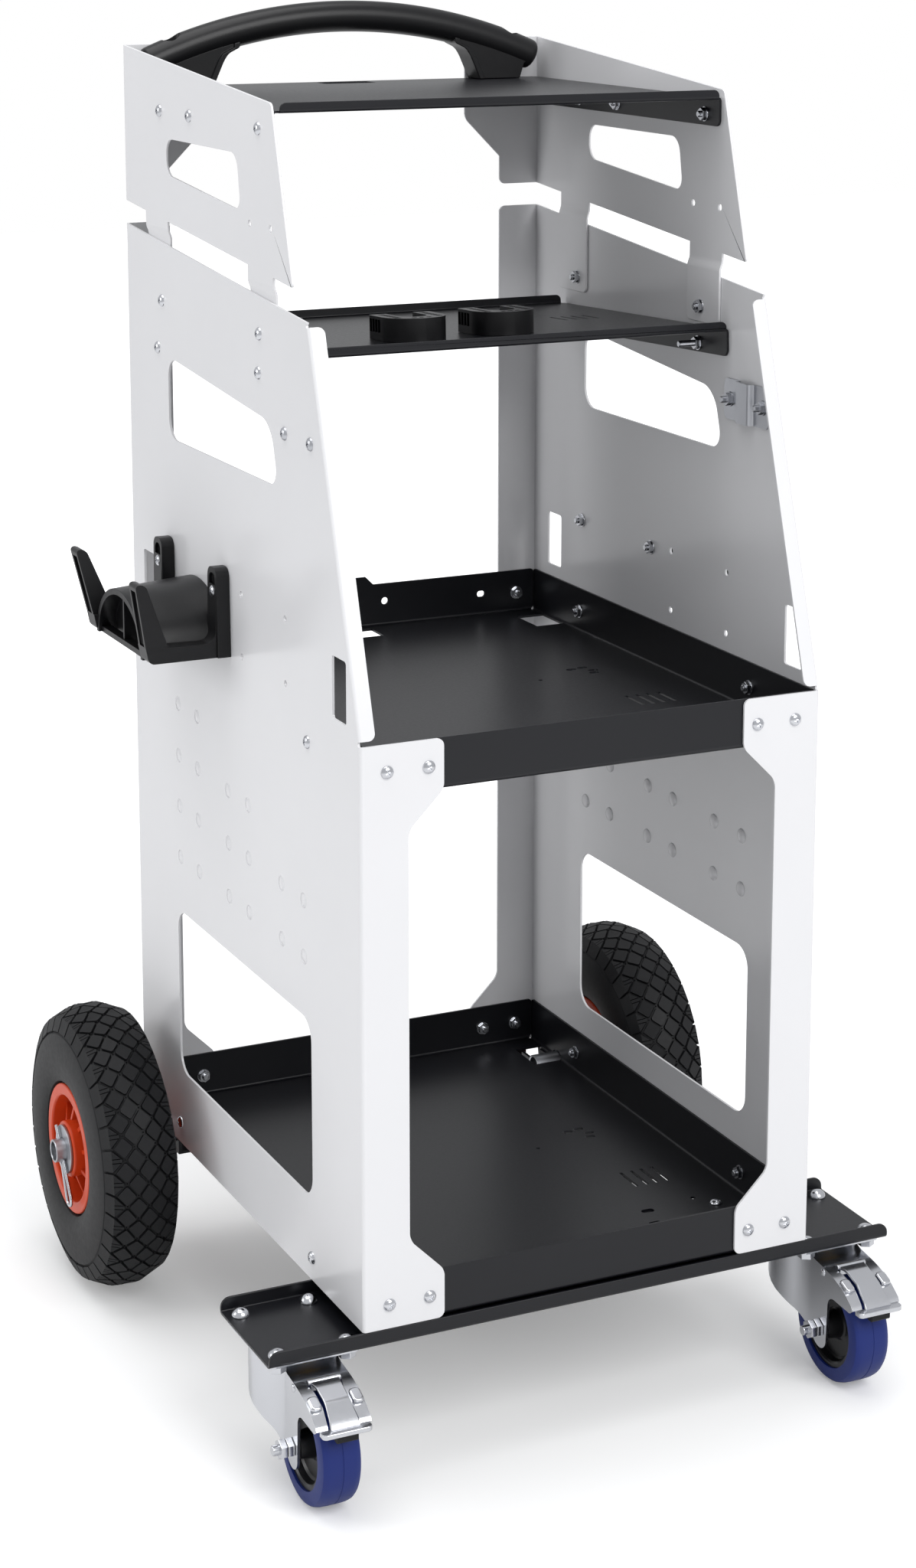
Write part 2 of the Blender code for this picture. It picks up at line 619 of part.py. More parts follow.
def upper_panel(name, side):
    """Upper side panel whose two legs step inward and bolt inside the lower panel."""
    flat = basis((side * PANEL_MID, 0, BODY_BOTTOM), BACK, UP)
    inside = basis((side * INNER_MID, 0, BODY_BOTTOM), BACK, UP)
    step = Vector((side * (INNER_MID - PANEL_MID), 0, -JOGGLE))
    outline = [(UPPER_TIP, top_edge(UPPER_TIP) + PANEL_GAP)]
    faces = []
    for front, back in LEGS:
        bend = top_edge(back) + JOGGLE + SHEET
        outline += [(front, top_edge(front) + PANEL_GAP), (front, bend), (back, bend),
                    (back, top_edge(back) + PANEL_GAP)]
        stepped = basis((side * PANEL_MID, 0, BODY_BOTTOM + bend), BACK, step.normalized())
        faces.append((stepped, [rectangle((front, 0), (back, step.length))]))
        leg = rectangle((front, LEG_BOTTOM), (back, bend - JOGGLE))
        holes = bolt_holes([place for place in LEG_BOLTS if front < place[0] < back])
        faces.append((inside, [rounded(leg, EDGE_ROUND, 2, only=(0, 1))] + holes))
    outline += [(BACK_MID, top_edge(BACK_MID) + PANEL_GAP), (BACK_MID, UPPER_BACK_HEIGHT),
                (UPPER_FRONT, UPPER_FRONT_HEIGHT)]
    back = PANEL_DEPTH - UPPER_WINDOW_BACK
    window = [(UPPER_WINDOW_FRONT, top_edge(UPPER_WINDOW_FRONT) + UPPER_WINDOW_SILL),
              (back, top_edge(back) + UPPER_WINDOW_SILL), (back, UPPER_WINDOW_TOP),
              (UPPER_WINDOW_FRONT + UPPER_WINDOW_LEAN, UPPER_WINDOW_TOP)]
    level = top_edge(UPPER_FRONT) + UPPER_WINDOW_SILL
    spare = [ring((LEGS[0][0] + 0.09 * LEG_WIDTH, level), SPARE_HOLE, 6),
             ring((LEGS[0][1] - 0.09 * LEG_WIDTH, level), SPARE_HOLE, 6)]
    faces.append((flat, [outline, rounded(window, UPPER_WINDOW_RADIUS)] + spare))
    width, ear = FLANGE - SHEET / 2, UPPER_EAR - SHEET / 2
    shoulder = UPPER_BACK_HEIGHT - UPPER_EAR_HEIGHT
    bottom = top_edge(BACK_MID) + PANEL_GAP
    flange = [(0, bottom), (width, bottom), (width, shoulder - (ear - width)), (ear, shoulder),
              (ear, UPPER_BACK_HEIGHT), (0, UPPER_BACK_HEIGHT)]
    faces.append((basis((side * PANEL_MID, BACK_MID, BODY_BOTTOM), -side * RIGHT, UP),
                  [rounded(flange, EDGE_ROUND, 2, only=(1, 3, 4))]))
    made = folded(name, faces, SHEET, COATED)
    bolts = [bolt((side * PANEL_FACE, y, BODY_BOTTOM + h), side * RIGHT, SHEET_PAIR, -SINK, GAP)
             for y, h in TOP_SHELF_BOLTS]
    shape(made, "UNION", joined(bolts))


def cable_slots(y):
    """Row of four short slots near one side of a deck."""
    half, end = CABLE_SLOT / 2, y + CABLE_SLOT_LENGTH
    return [rectangle((x - half, y), (x + half, end)) for x in CABLE_SLOTS_X]


def tray(name, bottom, extra_holes):
    """Open pan with four walls, a raised tab at the back and its deck's cut-outs."""
    level = bottom + SHEET / 2
    wide, low, high = INNER_MID, WALL_FRONT, WALL_BACK
    inset = RELIEF
    lap = 0.75 * SHEET
    deck = []
    for sx, sy in ((-1, -1), (1, -1), (1, 1), (-1, 1)):
        y = low if sy < 0 else high
        notch = [(sx * (wide - inset), y), (sx * (wide - inset), y - sy * inset), (sx * wide, y - sy * inset)]
        deck += notch if sx * sy < 0 else notch[::-1]
    corners = []
    for sx in (-1, 1):
        outer = wide - 1.5 * SHEET
        x = sorted((sx * (outer - CORNER_CUT_WIDTH), sx * outer))
        front = WHEEL_Y - CORNER_CUT_DEPTH / 4
        corners.append(rectangle((x[0], front), (x[1], front + CORNER_CUT_DEPTH)))
    rear = high - 6 * SHEET
    middle = rectangle((-TRAY_CUT_WIDTH / 2, rear - TRAY_CUT_DEPTH), (TRAY_CUT_WIDTH / 2, rear))
    deck_holes = corners + [middle] + extra_holes

    def wall(half, extra=()):
        inner, outer = half - inset, half - lap
        rise = TRAY_WALL - SHEET / 2
        base = [(-inner, 0), (inner, 0), (outer, inset), (outer, rise)]
        return base + list(extra) + [(-outer, rise), (-outer, inset)]

    tab = TRAY_TAB_WIDTH / 2
    rise = TRAY_WALL - SHEET / 2
    raised = [(tab + TRAY_TAB_HEIGHT, rise), (tab, rise + TRAY_TAB_HEIGHT), (-tab, rise + TRAY_TAB_HEIGHT),
              (-tab - TRAY_TAB_HEIGHT, rise)]
    bolt_level = TRAY_BOLT_RISE - SHEET / 2
    across = [sx * (PANEL_FACE - setback) for sx in (-1, 1) for setback in (OUTER_BOLT, INNER_BOLT)]
    end_holes = bolt_holes([(x, bolt_level) for x in across])
    spy_hole = [ring((0.044, bolt_level + 0.005), 0.0035, 6)]
    centre = (low + high) / 2
    side_holes = bolt_holes([(y - centre, bolt_level) for y in TRAY_SIDE_BOLTS])
    half_depth = (high - low) / 2
    faces = [
        (basis((0, 0, level), RIGHT, BACK), [deck] + deck_holes),
        (basis((0, low, level), RIGHT, UP), [wall(wide)] + end_holes),
        (basis((0, high, level), RIGHT, UP), [wall(wide, raised)] + end_holes + spy_hole),
        (basis((-wide, centre, level), BACK, UP), [wall(half_depth)] + side_holes),
        (basis((wide, centre, level), BACK, UP), [wall(half_depth)] + side_holes),
    ]
    return folded(name, faces, SHEET, BLACK_COAT)


def ovals(places):
    """Small oval holes in a deck."""
    wide, deep = 0.005, 0.003
    return [rounded(rectangle((x - wide, y - deep), (x + wide, y + deep)), 0.95 * deep, 1) for x, y in places]


def tray_screw_holes():
    """Holes for the two screws that tie the lower tray to the base channel."""
    return bolt_holes([(sx * TRAY_SCREW_X, TRAY_SCREW_Y) for sx in (-1, 1)])


def shelf_deck(low, high, notch_back):
    """Deck outline between the side flanges, relieved where a lip and a flange meet."""
    wide, inset = INNER_MID, RELIEF
    front = [(-wide, low + inset), (-wide + inset, low + inset), (-wide + inset, low), (wide - inset, low),
             (wide - inset, low + inset), (wide, low + inset)]
    if not notch_back:
        return front + [(wide, high - inset), (wide, high), (-wide, high), (-wide, high - inset)]
    return front + [(wide, high - inset), (wide - inset, high - inset), (wide - inset, high),
                    (-wide + inset, high), (-wide + inset, high - inset), (-wide, high - inset)]


def lip_outline(height):
    """Upstanding lip along a shelf's edge, with rounded ends."""
    half = INNER_MID - RELIEF
    return rounded(rectangle((-half, 0), (half, height)), 0.6 * height, 2, only=(2, 3))


def top_shelf():
    """Top shelf: upstanding front lip, side flanges folded down, cable slot at the back."""
    level = BODY_BOTTOM + TOP_SHELF_RISE - SHEET / 2
    low, high = UPPER_FRONT - SHEET / 2, PANEL_DEPTH - SHEET - 2 * GAP
    rear = high - 3.5 * SHEET
    slot = rectangle((-TRAY_CUT_WIDTH / 2, rear - TOP_SLOT_DEPTH), (TRAY_CUT_WIDTH / 2, rear))
    slot = rounded(slot, 1.5 * SHEET, 1)
    screw_holes = bolt_holes([(sx * HANDLE_SCREW_X, HANDLE_Y) for sx in (-1, 1)])
    deck = shelf_deck(low, high, notch_back=False)
    flange = rectangle((low + RELIEF, 0), (high - RELIEF, TOP_SHELF_FLANGE))
    drop = TOP_SHELF_RISE - SHEET / 2
    holes = bolt_holes([(y, drop - h) for y, h in TOP_SHELF_BOLTS])
    flange = rounded(flange, EDGE_ROUND, 2, only=(2, 3))
    sides = [(basis((sx * INNER_MID, 0, level), BACK, -UP), [flange] + holes) for sx in (-1, 1)]
    faces = [(basis((0, 0, level), RIGHT, BACK), [deck, slot] + screw_holes),
             (basis((0, low, level), RIGHT, UP), [lip_outline(SHELF_LIP - SHEET / 2)])]
    return folded("top_shelf", faces + sides, SHEET, BLACK_COAT)


def middle_shelf():
    """Middle shelf: tilted deck with lips front and back and side flanges folded down."""
    deck = shelf_deck(0, MIDDLE_SHELF_DEPTH, notch_back=True)
    flange = rectangle((RELIEF, 0), (MIDDLE_SHELF_DEPTH - RELIEF, MIDDLE_SHELF_FLANGE))
    holes = []
    for place in SHELF_BOLTS:
        offset = place - DECK_ORIGIN
        holes.append((offset.dot(DECK_ALONG), -offset.dot(DECK_OUT)))
    faces = [(basis(DECK_ORIGIN, RIGHT, DECK_ALONG), [deck] + cable_slots(SHELF_SLOTS_Y)),
             (basis(DECK_ORIGIN, RIGHT, DECK_OUT), [lip_outline(SHELF_LIP - SHEET / 2)]),
             (basis(deck_point(0, MIDDLE_SHELF_DEPTH, 0), RIGHT, DECK_OUT), [lip_outline(SHELF_LIP)])]
    for sx in (-1, 1):
        faces.append((basis(deck_point(sx * INNER_MID, 0, 0), DECK_ALONG, -DECK_OUT),
                      [rounded(flange, EDGE_ROUND, 2, only=(2, 3))] + bolt_holes(holes)))
    return folded("middle_shelf", faces, SHEET, BLACK_COAT)


def castor_bolt_places(castor_x):
    """Bolt centres of one castor plate, on the base channel."""
    return [(castor_x + sx * CASTOR_HOLES_WIDE / 2, BASE_MID_Y + sy * CASTOR_HOLES_LONG / 2)
            for sx in (-1, 1) for sy in (-1, 1)]


def base_channel():
    """Shallow channel across the front with upstanding lips, bolted down on the castors."""
    level = BASE_BOTTOM + BASE_SHEET / 2
    front = BASE_FRONT + BASE_SHEET / 2
    back = BASE_FRONT + BASE_DEPTH - BASE_SHEET / 2
    half = BASE_LENGTH / 2
    lip = rounded(rectangle((-half, 0), (half, BASE_LIP - BASE_SHEET / 2)), 0.6 * BASE_LIP, 3, only=(2, 3))
    hole = CASTOR_BOLT_RADIUS + HOLE_CLEARANCE
    holes = [ring(place, hole, 8) for sx in (-1, 1) for place in castor_bolt_places(sx * CASTOR_X)]
    deck = [rectangle((-half, front), (half, back))] + holes + tray_screw_holes()
    faces = [(basis((0, 0, level), RIGHT, BACK), deck),
             (basis((0, front, level), RIGHT, UP), [lip]),
             (basis((0, back, level), RIGHT, UP), [lip])]
    return folded("base_channel", faces, BASE_SHEET, BLACK_COAT)


def axle_bracket(name, side):
    """Folded bracket: two cheeks that cradle the axle and a plate bolted to the back flange."""
    floor = TYRE_RADIUS - AXLE_RADIUS - 0.006
    inner, outer = PANEL_FACE - BRACKET_INNER, PANEL_FACE - BRACKET_OUTER
    back = PANEL_DEPTH + GAP + BRACKET_SHEET / 2
    front = WHEEL_Y - 0.016
    top = BODY_BOTTOM - GAP - floor
    plate_top = BODY_BOTTOM + 0.92 * EAR_HEIGHT - floor
    inner_edge = EAR_EDGE + BRACKET_SHEET
    web_end = WHEEL_Y + 0.030
    plate = [(inner, 0), (outer, 0), (outer, plate_top), (inner_edge, plate_top), (inner_edge, top),
             (inner, top)]
    sign = side * RIGHT
    deck = [(inner, front), (outer, front), (outer, web_end), (outer, back), (inner, back), (inner, web_end)]
    cheek = rounded(rectangle((front, 0), (web_end, top)), EDGE_ROUND, 2, only=(3,))
    faces = [(basis((0, 0, floor), sign, BACK), [deck]),
             (basis((0, back, floor), sign, UP), [rounded(plate, EDGE_ROUND, 2, only=(2, 3, 4))])]
    for x in (inner, outer):
        faces.append((basis((side * x, 0, floor), BACK, UP), [cheek]))
    made = folded(name, faces, BRACKET_SHEET, BLACK_COAT)
    grip = BRACKET_SHEET + GAP + SHEET_PAIR
    seat = PANEL_DEPTH + GAP + BRACKET_SHEET
    level = BODY_BOTTOM + TRAY_BOLT_RISE
    bolts = [bolt((side * (PANEL_FACE - setback), seat, level), BACK, grip, -SINK, GAP)
             for setback in (OUTER_BOLT, INNER_BOLT)]
    shape(made, "UNION", joined(bolts))
    across = facing((side * (inner - BRACKET_SHEET), WHEEL_Y, TYRE_RADIUS), sign)
    reach = outer - inner + 2 * BRACKET_SHEET
    shape(made, "DIFFERENCE", rod(AXLE_RADIUS + GAP, 0, reach, AXLE_SIDES, across))


def wheel_frame(side):
    """Matrix that carries +Z outward along the axle at a wheel's centre."""
    return facing((0, 0, 0), side * RIGHT)


def rear_axle(label, side):
    """Stub tube, spacer, washer and hairpin clip of one rear wheel."""
    centre = Vector((side * WHEEL_X, WHEEL_Y, TYRE_RADIUS))
    along = wheel_frame(side)
    bore = AXLE_RADIUS - AXLE_WALL
    start = PANEL_FACE - BRACKET_INNER - BRACKET_SHEET - WHEEL_X
    tube = washer(bore, AXLE_RADIUS, start, AXLE_END - WHEEL_X, AXLE_SIDES, along)
    axle = node(label + "_axle", tube, ZINC, place=centre)
    hub = HUB_LENGTH / 2
    clear = running_bore(AXLE_RADIUS, AXLE_SIDES)
    spacer = washer(clear, clear + BUSH_WALL, PANEL_FACE + GAP - WHEEL_X, -hub - GAP, AXLE_SIDES, along)
    node(label + "_spacer", spacer, ZINC, place=centre)
    outer_face = hub + GAP + WASHER_THICKNESS
    disc = washer(clear, 0.85 * HUB_RADIUS, hub + GAP, outer_face, AXLE_SIDES, along)
    node(label + "_washer", disc, ZINC, place=centre)
    wire = HAIRPIN_RADIUS
    clip_x = outer_face + GAP + wire
    lean = math.radians(HAIRPIN_LEAN)
    down = Vector((0, -math.sin(lean), -math.cos(lean)))
    aside = Vector((0, math.cos(lean), -math.sin(lean)))
    grip = AXLE_RADIUS + wire + GAP
    middle = Vector((side * clip_x, 0, 0))
    loop = 7.5 * wire
    route = [(-2.2, 0), (4.2, 0), (4.75, 0.18), (4.9, 0.5), (4.7, 0.82), (4.2, 1), (2.2, 0.72), (1.35, 0.62)]
    points = [middle + down * (a * AXLE_RADIUS) + aside * (b * loop) for a, b in route]
    for k in range(5):
        turn = math.radians(38 + 25 * k)
        points.append(middle + (down * math.cos(turn) + aside * math.sin(turn)) * grip)
    node(label + "_hairpin", swept(points, wire, 1), ZINC, place=centre)
    shape(axle, "DIFFERENCE", swept([points[0] - down * 0.01, points[1]], wire + GAP, 1))


def rear_wheel(label, side):
    """Pneumatic tyre on a ribbed moulded rim, with a bush through the hub."""
    pivot = empty(label + "_pivot", ORIGIN, (side * WHEEL_X, WHEEL_Y, TYRE_RADIUS))
    along = wheel_frame(side)
    half, face = TYRE_WIDTH / 2, RIM_WIDTH / 2
    flange = RIM_FLANGE
    bead = face - flange - GAP
    seat = RIM_RADIUS - RIM_STEP
    section = TYRE_RADIUS - RIM_RADIUS
    outside = [(seat, bead), (RIM_RADIUS + 0.01 * section, bead), (RIM_RADIUS + 0.05 * section, 0.9 * half),
               (RIM_RADIUS + 0.36 * section, half), (RIM_RADIUS + 0.65 * section, 0.94 * half),
               (RIM_RADIUS + 0.81 * section, 0.9 * half), (RIM_RADIUS + 0.957 * section, 0.64 * half),
               (TYRE_RADIUS, 0.26 * half)]
    profile = outside + [(r, -z) for r, z in reversed(outside)]
    node(label + "_tyre", turned(profile, TYRE_SIDES, along, closed=True), RUBBER, parent=pivot)
    hub = HUB_LENGTH / 2
    bore = AXLE_RADIUS + BUSH_WALL
    wall = seat - RIM_FLANGE
    web = RIB_THICKNESS
    inner_hub = HUB_RADIUS - RIM_FLANGE
    barrel = seat * math.cos(math.pi / TYRE_SIDES) - GAP
    side_faces = [(RIM_RADIUS, face), (RIM_RADIUS, face - flange), (barrel, face - flange),
                  (barrel, flange - face), (RIM_RADIUS, flange - face), (RIM_RADIUS, -face),
                  (wall, -face), (wall, -web), (inner_hub, -web), (inner_hub, -hub), (bore, -hub),
                  (bore, hub), (HUB_RADIUS, hub), (HUB_RADIUS, web), (wall, web), (wall, face)]
    rim = node(label + "_rim", turned(side_faces, RIM_SIDES, along, closed=True), RIM_PAINT, parent=pivot)
    ribs = []
    span = rectangle((inner_hub, 0.6 * web), (seat - RIM_FLANGE / 2, 0.8 * face))
    for k in range(RIM_RIBS):
        rib = filled([span], RIB_THICKNESS, Matrix.Rotation(math.pi / 2, 4, "X"))
        rib.transform(along @ Matrix.Rotation(2 * math.pi * k / RIM_RIBS, 4, "Z"))
        ribs.append(rib)
    shape(rim, "UNION", joined(ribs))
    bush = washer(running_bore(AXLE_RADIUS, AXLE_SIDES), bore - 2 * GAP, -hub, hub, AXLE_SIDES, along)
    node(label + "_bush", bush, PLASTIC, parent=pivot)


def handle_height(x):
    """Height of the handle's centre line, an arc across the cart."""
    return HANDLE_TOP - HANDLE_BEND + math.sqrt(HANDLE_BEND ** 2 - x ** 2)


def handle():
    """Arched round grip with a spot face at each end for its screw."""
    half = HANDLE_SPAN / 2
    count = 12
    xs = [half * (2 * k / count - 1) for k in range(count + 1)]
    points = [Vector((x, HANDLE_Y, handle_height(x))) for x in xs]
    tube = node("handle_tube", swept(points, HANDLE_RADIUS, 2), PLASTIC)
    longer = [points[0] + (points[0] - points[1])] + points + [points[-1] + (points[-1] - points[-2])]
    seat = handle_height(HANDLE_SCREW_X) + 0.5 * HANDLE_RADIUS
    deck = BODY_BOTTOM + TOP_SHELF_RISE
    faces = []
    for label, side in SIDES:
        x = side * HANDLE_SCREW_X
        place = Matrix.Translation((x, HANDLE_Y, 0))
        faces.append(rod(0.6 * HANDLE_RADIUS, seat, seat + 2 * HANDLE_RADIUS, 10, place))
        faces.append(rod(BOLT_HOLE, deck - HANDLE_RADIUS, seat + SHEET, 6, place))
        screw = bolt((x, HANDLE_Y, seat), UP, seat - deck + SHEET, GAP, GAP)
        node(label + "_handle_screw", screw, ZINC)
        handle_support(label + "_handle_support", side, longer)
    shape(tube, "DIFFERENCE", joined(faces[0::2]))
    shape(tube, "DIFFERENCE", joined(faces[1::2]))


def handle_support(name, side, handle_path):
    """Moulded foot that stands on the top shelf and cradles the grip from below."""
    foot = BODY_BOTTOM + TOP_SHELF_RISE + GAP
    outer = SUPPORT_INNER + SUPPORT_FOOT
    cradle = 0.6 * HANDLE_RADIUS
    ends = (SUPPORT_INNER - 0.026, outer + 0.008)
    tops = [ends[1] + (ends[0] - ends[1]) * k / 4 for k in range(5)]
    under = [(side * x, handle_height(x) - cradle) for x in tops]
    throat = handle_height(SUPPORT_INNER) - HANDLE_RADIUS
    outline = [(side * SUPPORT_INNER, foot), (side * outer, foot), (side * (outer + 0.0045), foot + 0.014)]
    outline += under
    outline += [(side * (SUPPORT_INNER - 0.0145), throat + 0.001),
                (side * (SUPPORT_INNER - 0.0105), throat - 0.005)]
    depth = 2 * HANDLE_RADIUS - 0.001
    block = filled([outline], depth, basis((0, HANDLE_Y, 0), RIGHT, UP))
    made = node(name, block, PLASTIC)
    shape(made, "DIFFERENCE", swept(handle_path, HANDLE_RADIUS + GAP, 2))
    hole = rod(BOLT_HOLE, foot - 0.01, foot + 0.06, 6,
               Matrix.Translation((side * HANDLE_SCREW_X, HANDLE_Y, 0)))
    shape(made, "DIFFERENCE", hole)


def cable_hook(name, side):
    """Moulded cable hook: ears bolted to the panel, an arched saddle and two upright horns."""
    level = BODY_BOTTOM + HOOK_BOLT_RISE
    start = PANEL_FACE + GAP
    sign = side * RIGHT
    half = HOOK_BOLT_SPACING / 2
    ear = HOOK_EAR / 2
    arch_half = half + 0.58 * HOOK_EAR
    sill = level - HOOK_DROP

    def arch(radius_y, radius_z, steps=10):
        turns = [math.pi * k / steps for k in range(steps + 1)]
        return [(HOOK_Y + radius_y * math.cos(t), sill + radius_z * math.sin(t)) for t in turns]

    shell = arch(arch_half, HOOK_ARCH_RISE)
    shell += arch(arch_half - HOOK_ARCH_WALL, HOOK_ARCH_RISE - HOOK_ARCH_WALL)[::-1]
    saddle = filled([shell], HOOK_REACH, basis((side * (start + HOOK_REACH / 2), 0, 0), BACK, UP))
    made = node(name, saddle, PLASTIC)
    top = level + HOOK_TOP
    ear_middle = basis((side * (start + HOOK_FLOOR / 2 + SINK / 2), 0, 0), BACK, UP)
    for centre in (HOOK_Y - half, HOOK_Y + half):
        plate = rounded(rectangle((centre - ear, sill), (centre + ear, top)), EDGE_ROUND, 2, only=(2, 3))
        shape(made, "UNION", filled([plate], HOOK_FLOOR, ear_middle))
    reach = start + HOOK_REACH
    for centre in (HOOK_Y - half, HOOK_Y + half):
        horn = [(reach - 2 * HORN_WIDTH, sill - 0.001), (reach - 0.001, sill - 0.001),
                (reach + 0.012, top - 0.006), (reach + 0.002, top - 0.008)]
        outline = [(side * x, z) for x, z in rounded(horn, 0.004, 2, only=(2, 3))]
        shape(made, "UNION", filled([outline], HORN_WIDTH, basis((0, centre, 0), RIGHT, UP)))
    seat = start + HOOK_FLOOR + SINK
    bolts = [bolt((side * seat, y, BODY_BOTTOM + h), sign, seat - PANEL_FACE + SHEET, -SINK, GAP)
             for y, h in HOOK_BOLTS]
    shape(made, "UNION", joined(bolts))


def rest(name, x, along):
    """U-shaped rest on the middle shelf, round at the front and open to the back."""
    half, slot = REST_WIDTH / 2, REST_SLOT / 2
    straight = REST_LENGTH - half

    def bow(radius, steps=8):
        turns = [math.pi + math.pi * k / steps for k in range(steps + 1)]
        return [(x + radius * math.cos(t), along + half + radius * math.sin(t)) for t in turns]

    end = along + half + straight
    outline = [(x - half, end)] + bow(half) + [(x + half, end), (x + slot, end)]
    outline += bow(slot, 6)[::-1] + [(x - slot, end)]
    lift = SHEET / 2 + GAP + REST_HEIGHT / 2
    node(name, filled([outline], REST_HEIGHT, basis(deck_point(0, 0, lift), RIGHT, DECK_ALONG)), PLASTIC)


def clip_plate(name, side):
    """Bare metal strap with a raised middle, bolted inside a panel's slanted front corner."""
    face = PANEL_FACE - SHEET - GAP
    ends = [CLIP_BOLTS[0][0] - 0.010, CLIP_BOLTS[1][0] + 0.010]
    middle = sum(ends) / 2
    hump, flat = 2.4 * CLIP_HUMP, 2 * CLIP_HUMP
    outside = [(ends[0], 0), (middle - hump, 0), (middle - flat, CLIP_HUMP), (middle + flat, CLIP_HUMP),
               (middle + hump, 0), (ends[1], 0)]
    profile = outside + [(y + (CLIP_SHEET if k in (1, 2) else -CLIP_SHEET if k in (3, 4) else 0) * 0.7,
                          depth + CLIP_SHEET) for k, (y, depth) in reversed(list(enumerate(outside)))]
    outline = [(side * (face - depth), y) for y, depth in profile]
    level = BODY_BOTTOM + CLIP_BOLTS[0][1]
    made = node(name, filled([outline], CLIP_HEIGHT, basis((0, 0, level), RIGHT, BACK)), ZINC)
    grip = SHEET + GAP + CLIP_SHEET
    bolts = [bolt((side * PANEL_FACE, y, BODY_BOTTOM + h), side * RIGHT, grip, GAP, -SINK, spare=0.004)
             for y, h in CLIP_BOLTS]
    shape(made, "UNION", joined(bolts))


def tray_screw(label, side):
    """Screw that ties the lower tray down to the base channel, through a sleeve between them."""
    x, y = side * TRAY_SCREW_X, TRAY_SCREW_Y
    deck = BODY_BOTTOM + SHEET
    node(label + "_tray_screw", bolt((x, y, deck), UP, deck - BASE_BOTTOM, GAP, GAP), ZINC)
    sleeve = washer(BOLT_RADIUS + GAP, 2 * BOLT_RADIUS, BASE_BOTTOM + BASE_SHEET + GAP, BODY_BOTTOM - GAP, 8)
    node(label + "_tray_sleeve", sleeve, ZINC, place=(x, y, 0))


def fork_outline():
    """Side view of a fork: crown, hooded nose over the wheel and pointed legs, as (depth, height)."""
    axle = (-CASTOR_TRAIL, CASTOR_WHEEL_RADIUS)
    crown = FORK_CROWN_RADIUS + 0.002
    tread = 2 * CASTOR_WHEEL_RADIUS
    nose = axle[0] - NOSE
    legs = [(crown, FORK_TOP), (crown, tread - 0.017), (axle[0] + 0.036, axle[1] + 0.008),
            (axle[0] + 0.004, axle[1] - 0.018), (axle[0] - 0.0045, axle[1] - 0.0185),
            (axle[0] - 0.0105, axle[1] - 0.013), (axle[0] - 0.0125, tread - 0.021),
            (axle[0] - 0.018, tread - 0.0155)]
    hood = [(nose + 0.004, tread - 0.017), (nose, tread - 0.0135), (nose + 0.002, tread - 0.010)]
    return legs + hood + hood_top()


def hood_top():
    """Upper edge of the fork's nose, from its front back to the crown."""
    axle = -CASTOR_TRAIL
    tread = 2 * CASTOR_WHEEL_RADIUS
    return [(axle - 0.036, tread - 0.0008), (axle - 0.018, tread + 0.0048), (axle, tread + 0.0074),
            (axle + 0.011, tread + 0.0086), (axle + 0.019, FORK_TOP)]


def fork_wall(half, crown, front):
    """Plan view of the fork's wall: straight legs that widen into a round crown."""
    turns = [math.radians(-14 + 26 * k) for k in range(9)]
    bow = [(crown * math.cos(t), crown * math.sin(t)) for t in turns]
    return [(half, front), (half, -0.030)] + bow + [(-half, -0.030), (-half, front)]


def castor(label, side):
    """Braked swivel castor: plate and race on the cart, fork and wheel turning, pedal on its pin."""
    place = Vector((side * CASTOR_X, BASE_MID_Y, 0))
    swivel = empty(label + "_swivel", ORIGIN, place)
    castor_plate(label, place)
    fork(label, swivel)
    castor_wheel(label, swivel)
    brake(label, swivel)


def castor_plate(label, place):
    """Top plate with its king pin, and the race that the fork turns on."""
    low = CASTOR_TOP - CASTOR_PLATE_SHEET
    corner = (CASTOR_PLATE_WIDTH / 2, CASTOR_PLATE_LENGTH / 2)
    outline = rounded(rectangle((-corner[0], -corner[1]), corner), 0.007, 2)
    plate = filled([outline], CASTOR_PLATE_SHEET, Matrix.Translation((0, 0, low + CASTOR_PLATE_SHEET / 2)))
    made = node(label + "_plate", plate, ZINC, place=place)
    under = FORK_TOP - FORK_SHEET
    shank, head = KING_PIN_RADIUS, 1.7 * KING_PIN_RADIUS
    pin = turned([(0, low + 0.001), (shank, low + 0.001), (shank, under - 2 * GAP), (head, under - 2 * GAP),
                  (0.8 * head, under - 0.0045), (0, under - 0.0045)], 8)
    shape(made, "UNION", pin)
    race = washer(RACE_BORE, RACE_RADIUS, FORK_TOP + GAP, low - GAP, 16)
    node(label + "_race", race, PASSIVATED, place=place)
    seat = BASE_BOTTOM + BASE_SHEET
    bolts = [bolt((sx * CASTOR_HOLES_WIDE / 2, sy * CASTOR_HOLES_LONG / 2, seat), UP, seat - low, GAP, -SINK,
                  CASTOR_BOLT_RADIUS) for sx in (-1, 1) for sy in (-1, 1)]
    shape(made, "UNION", joined(bolts))


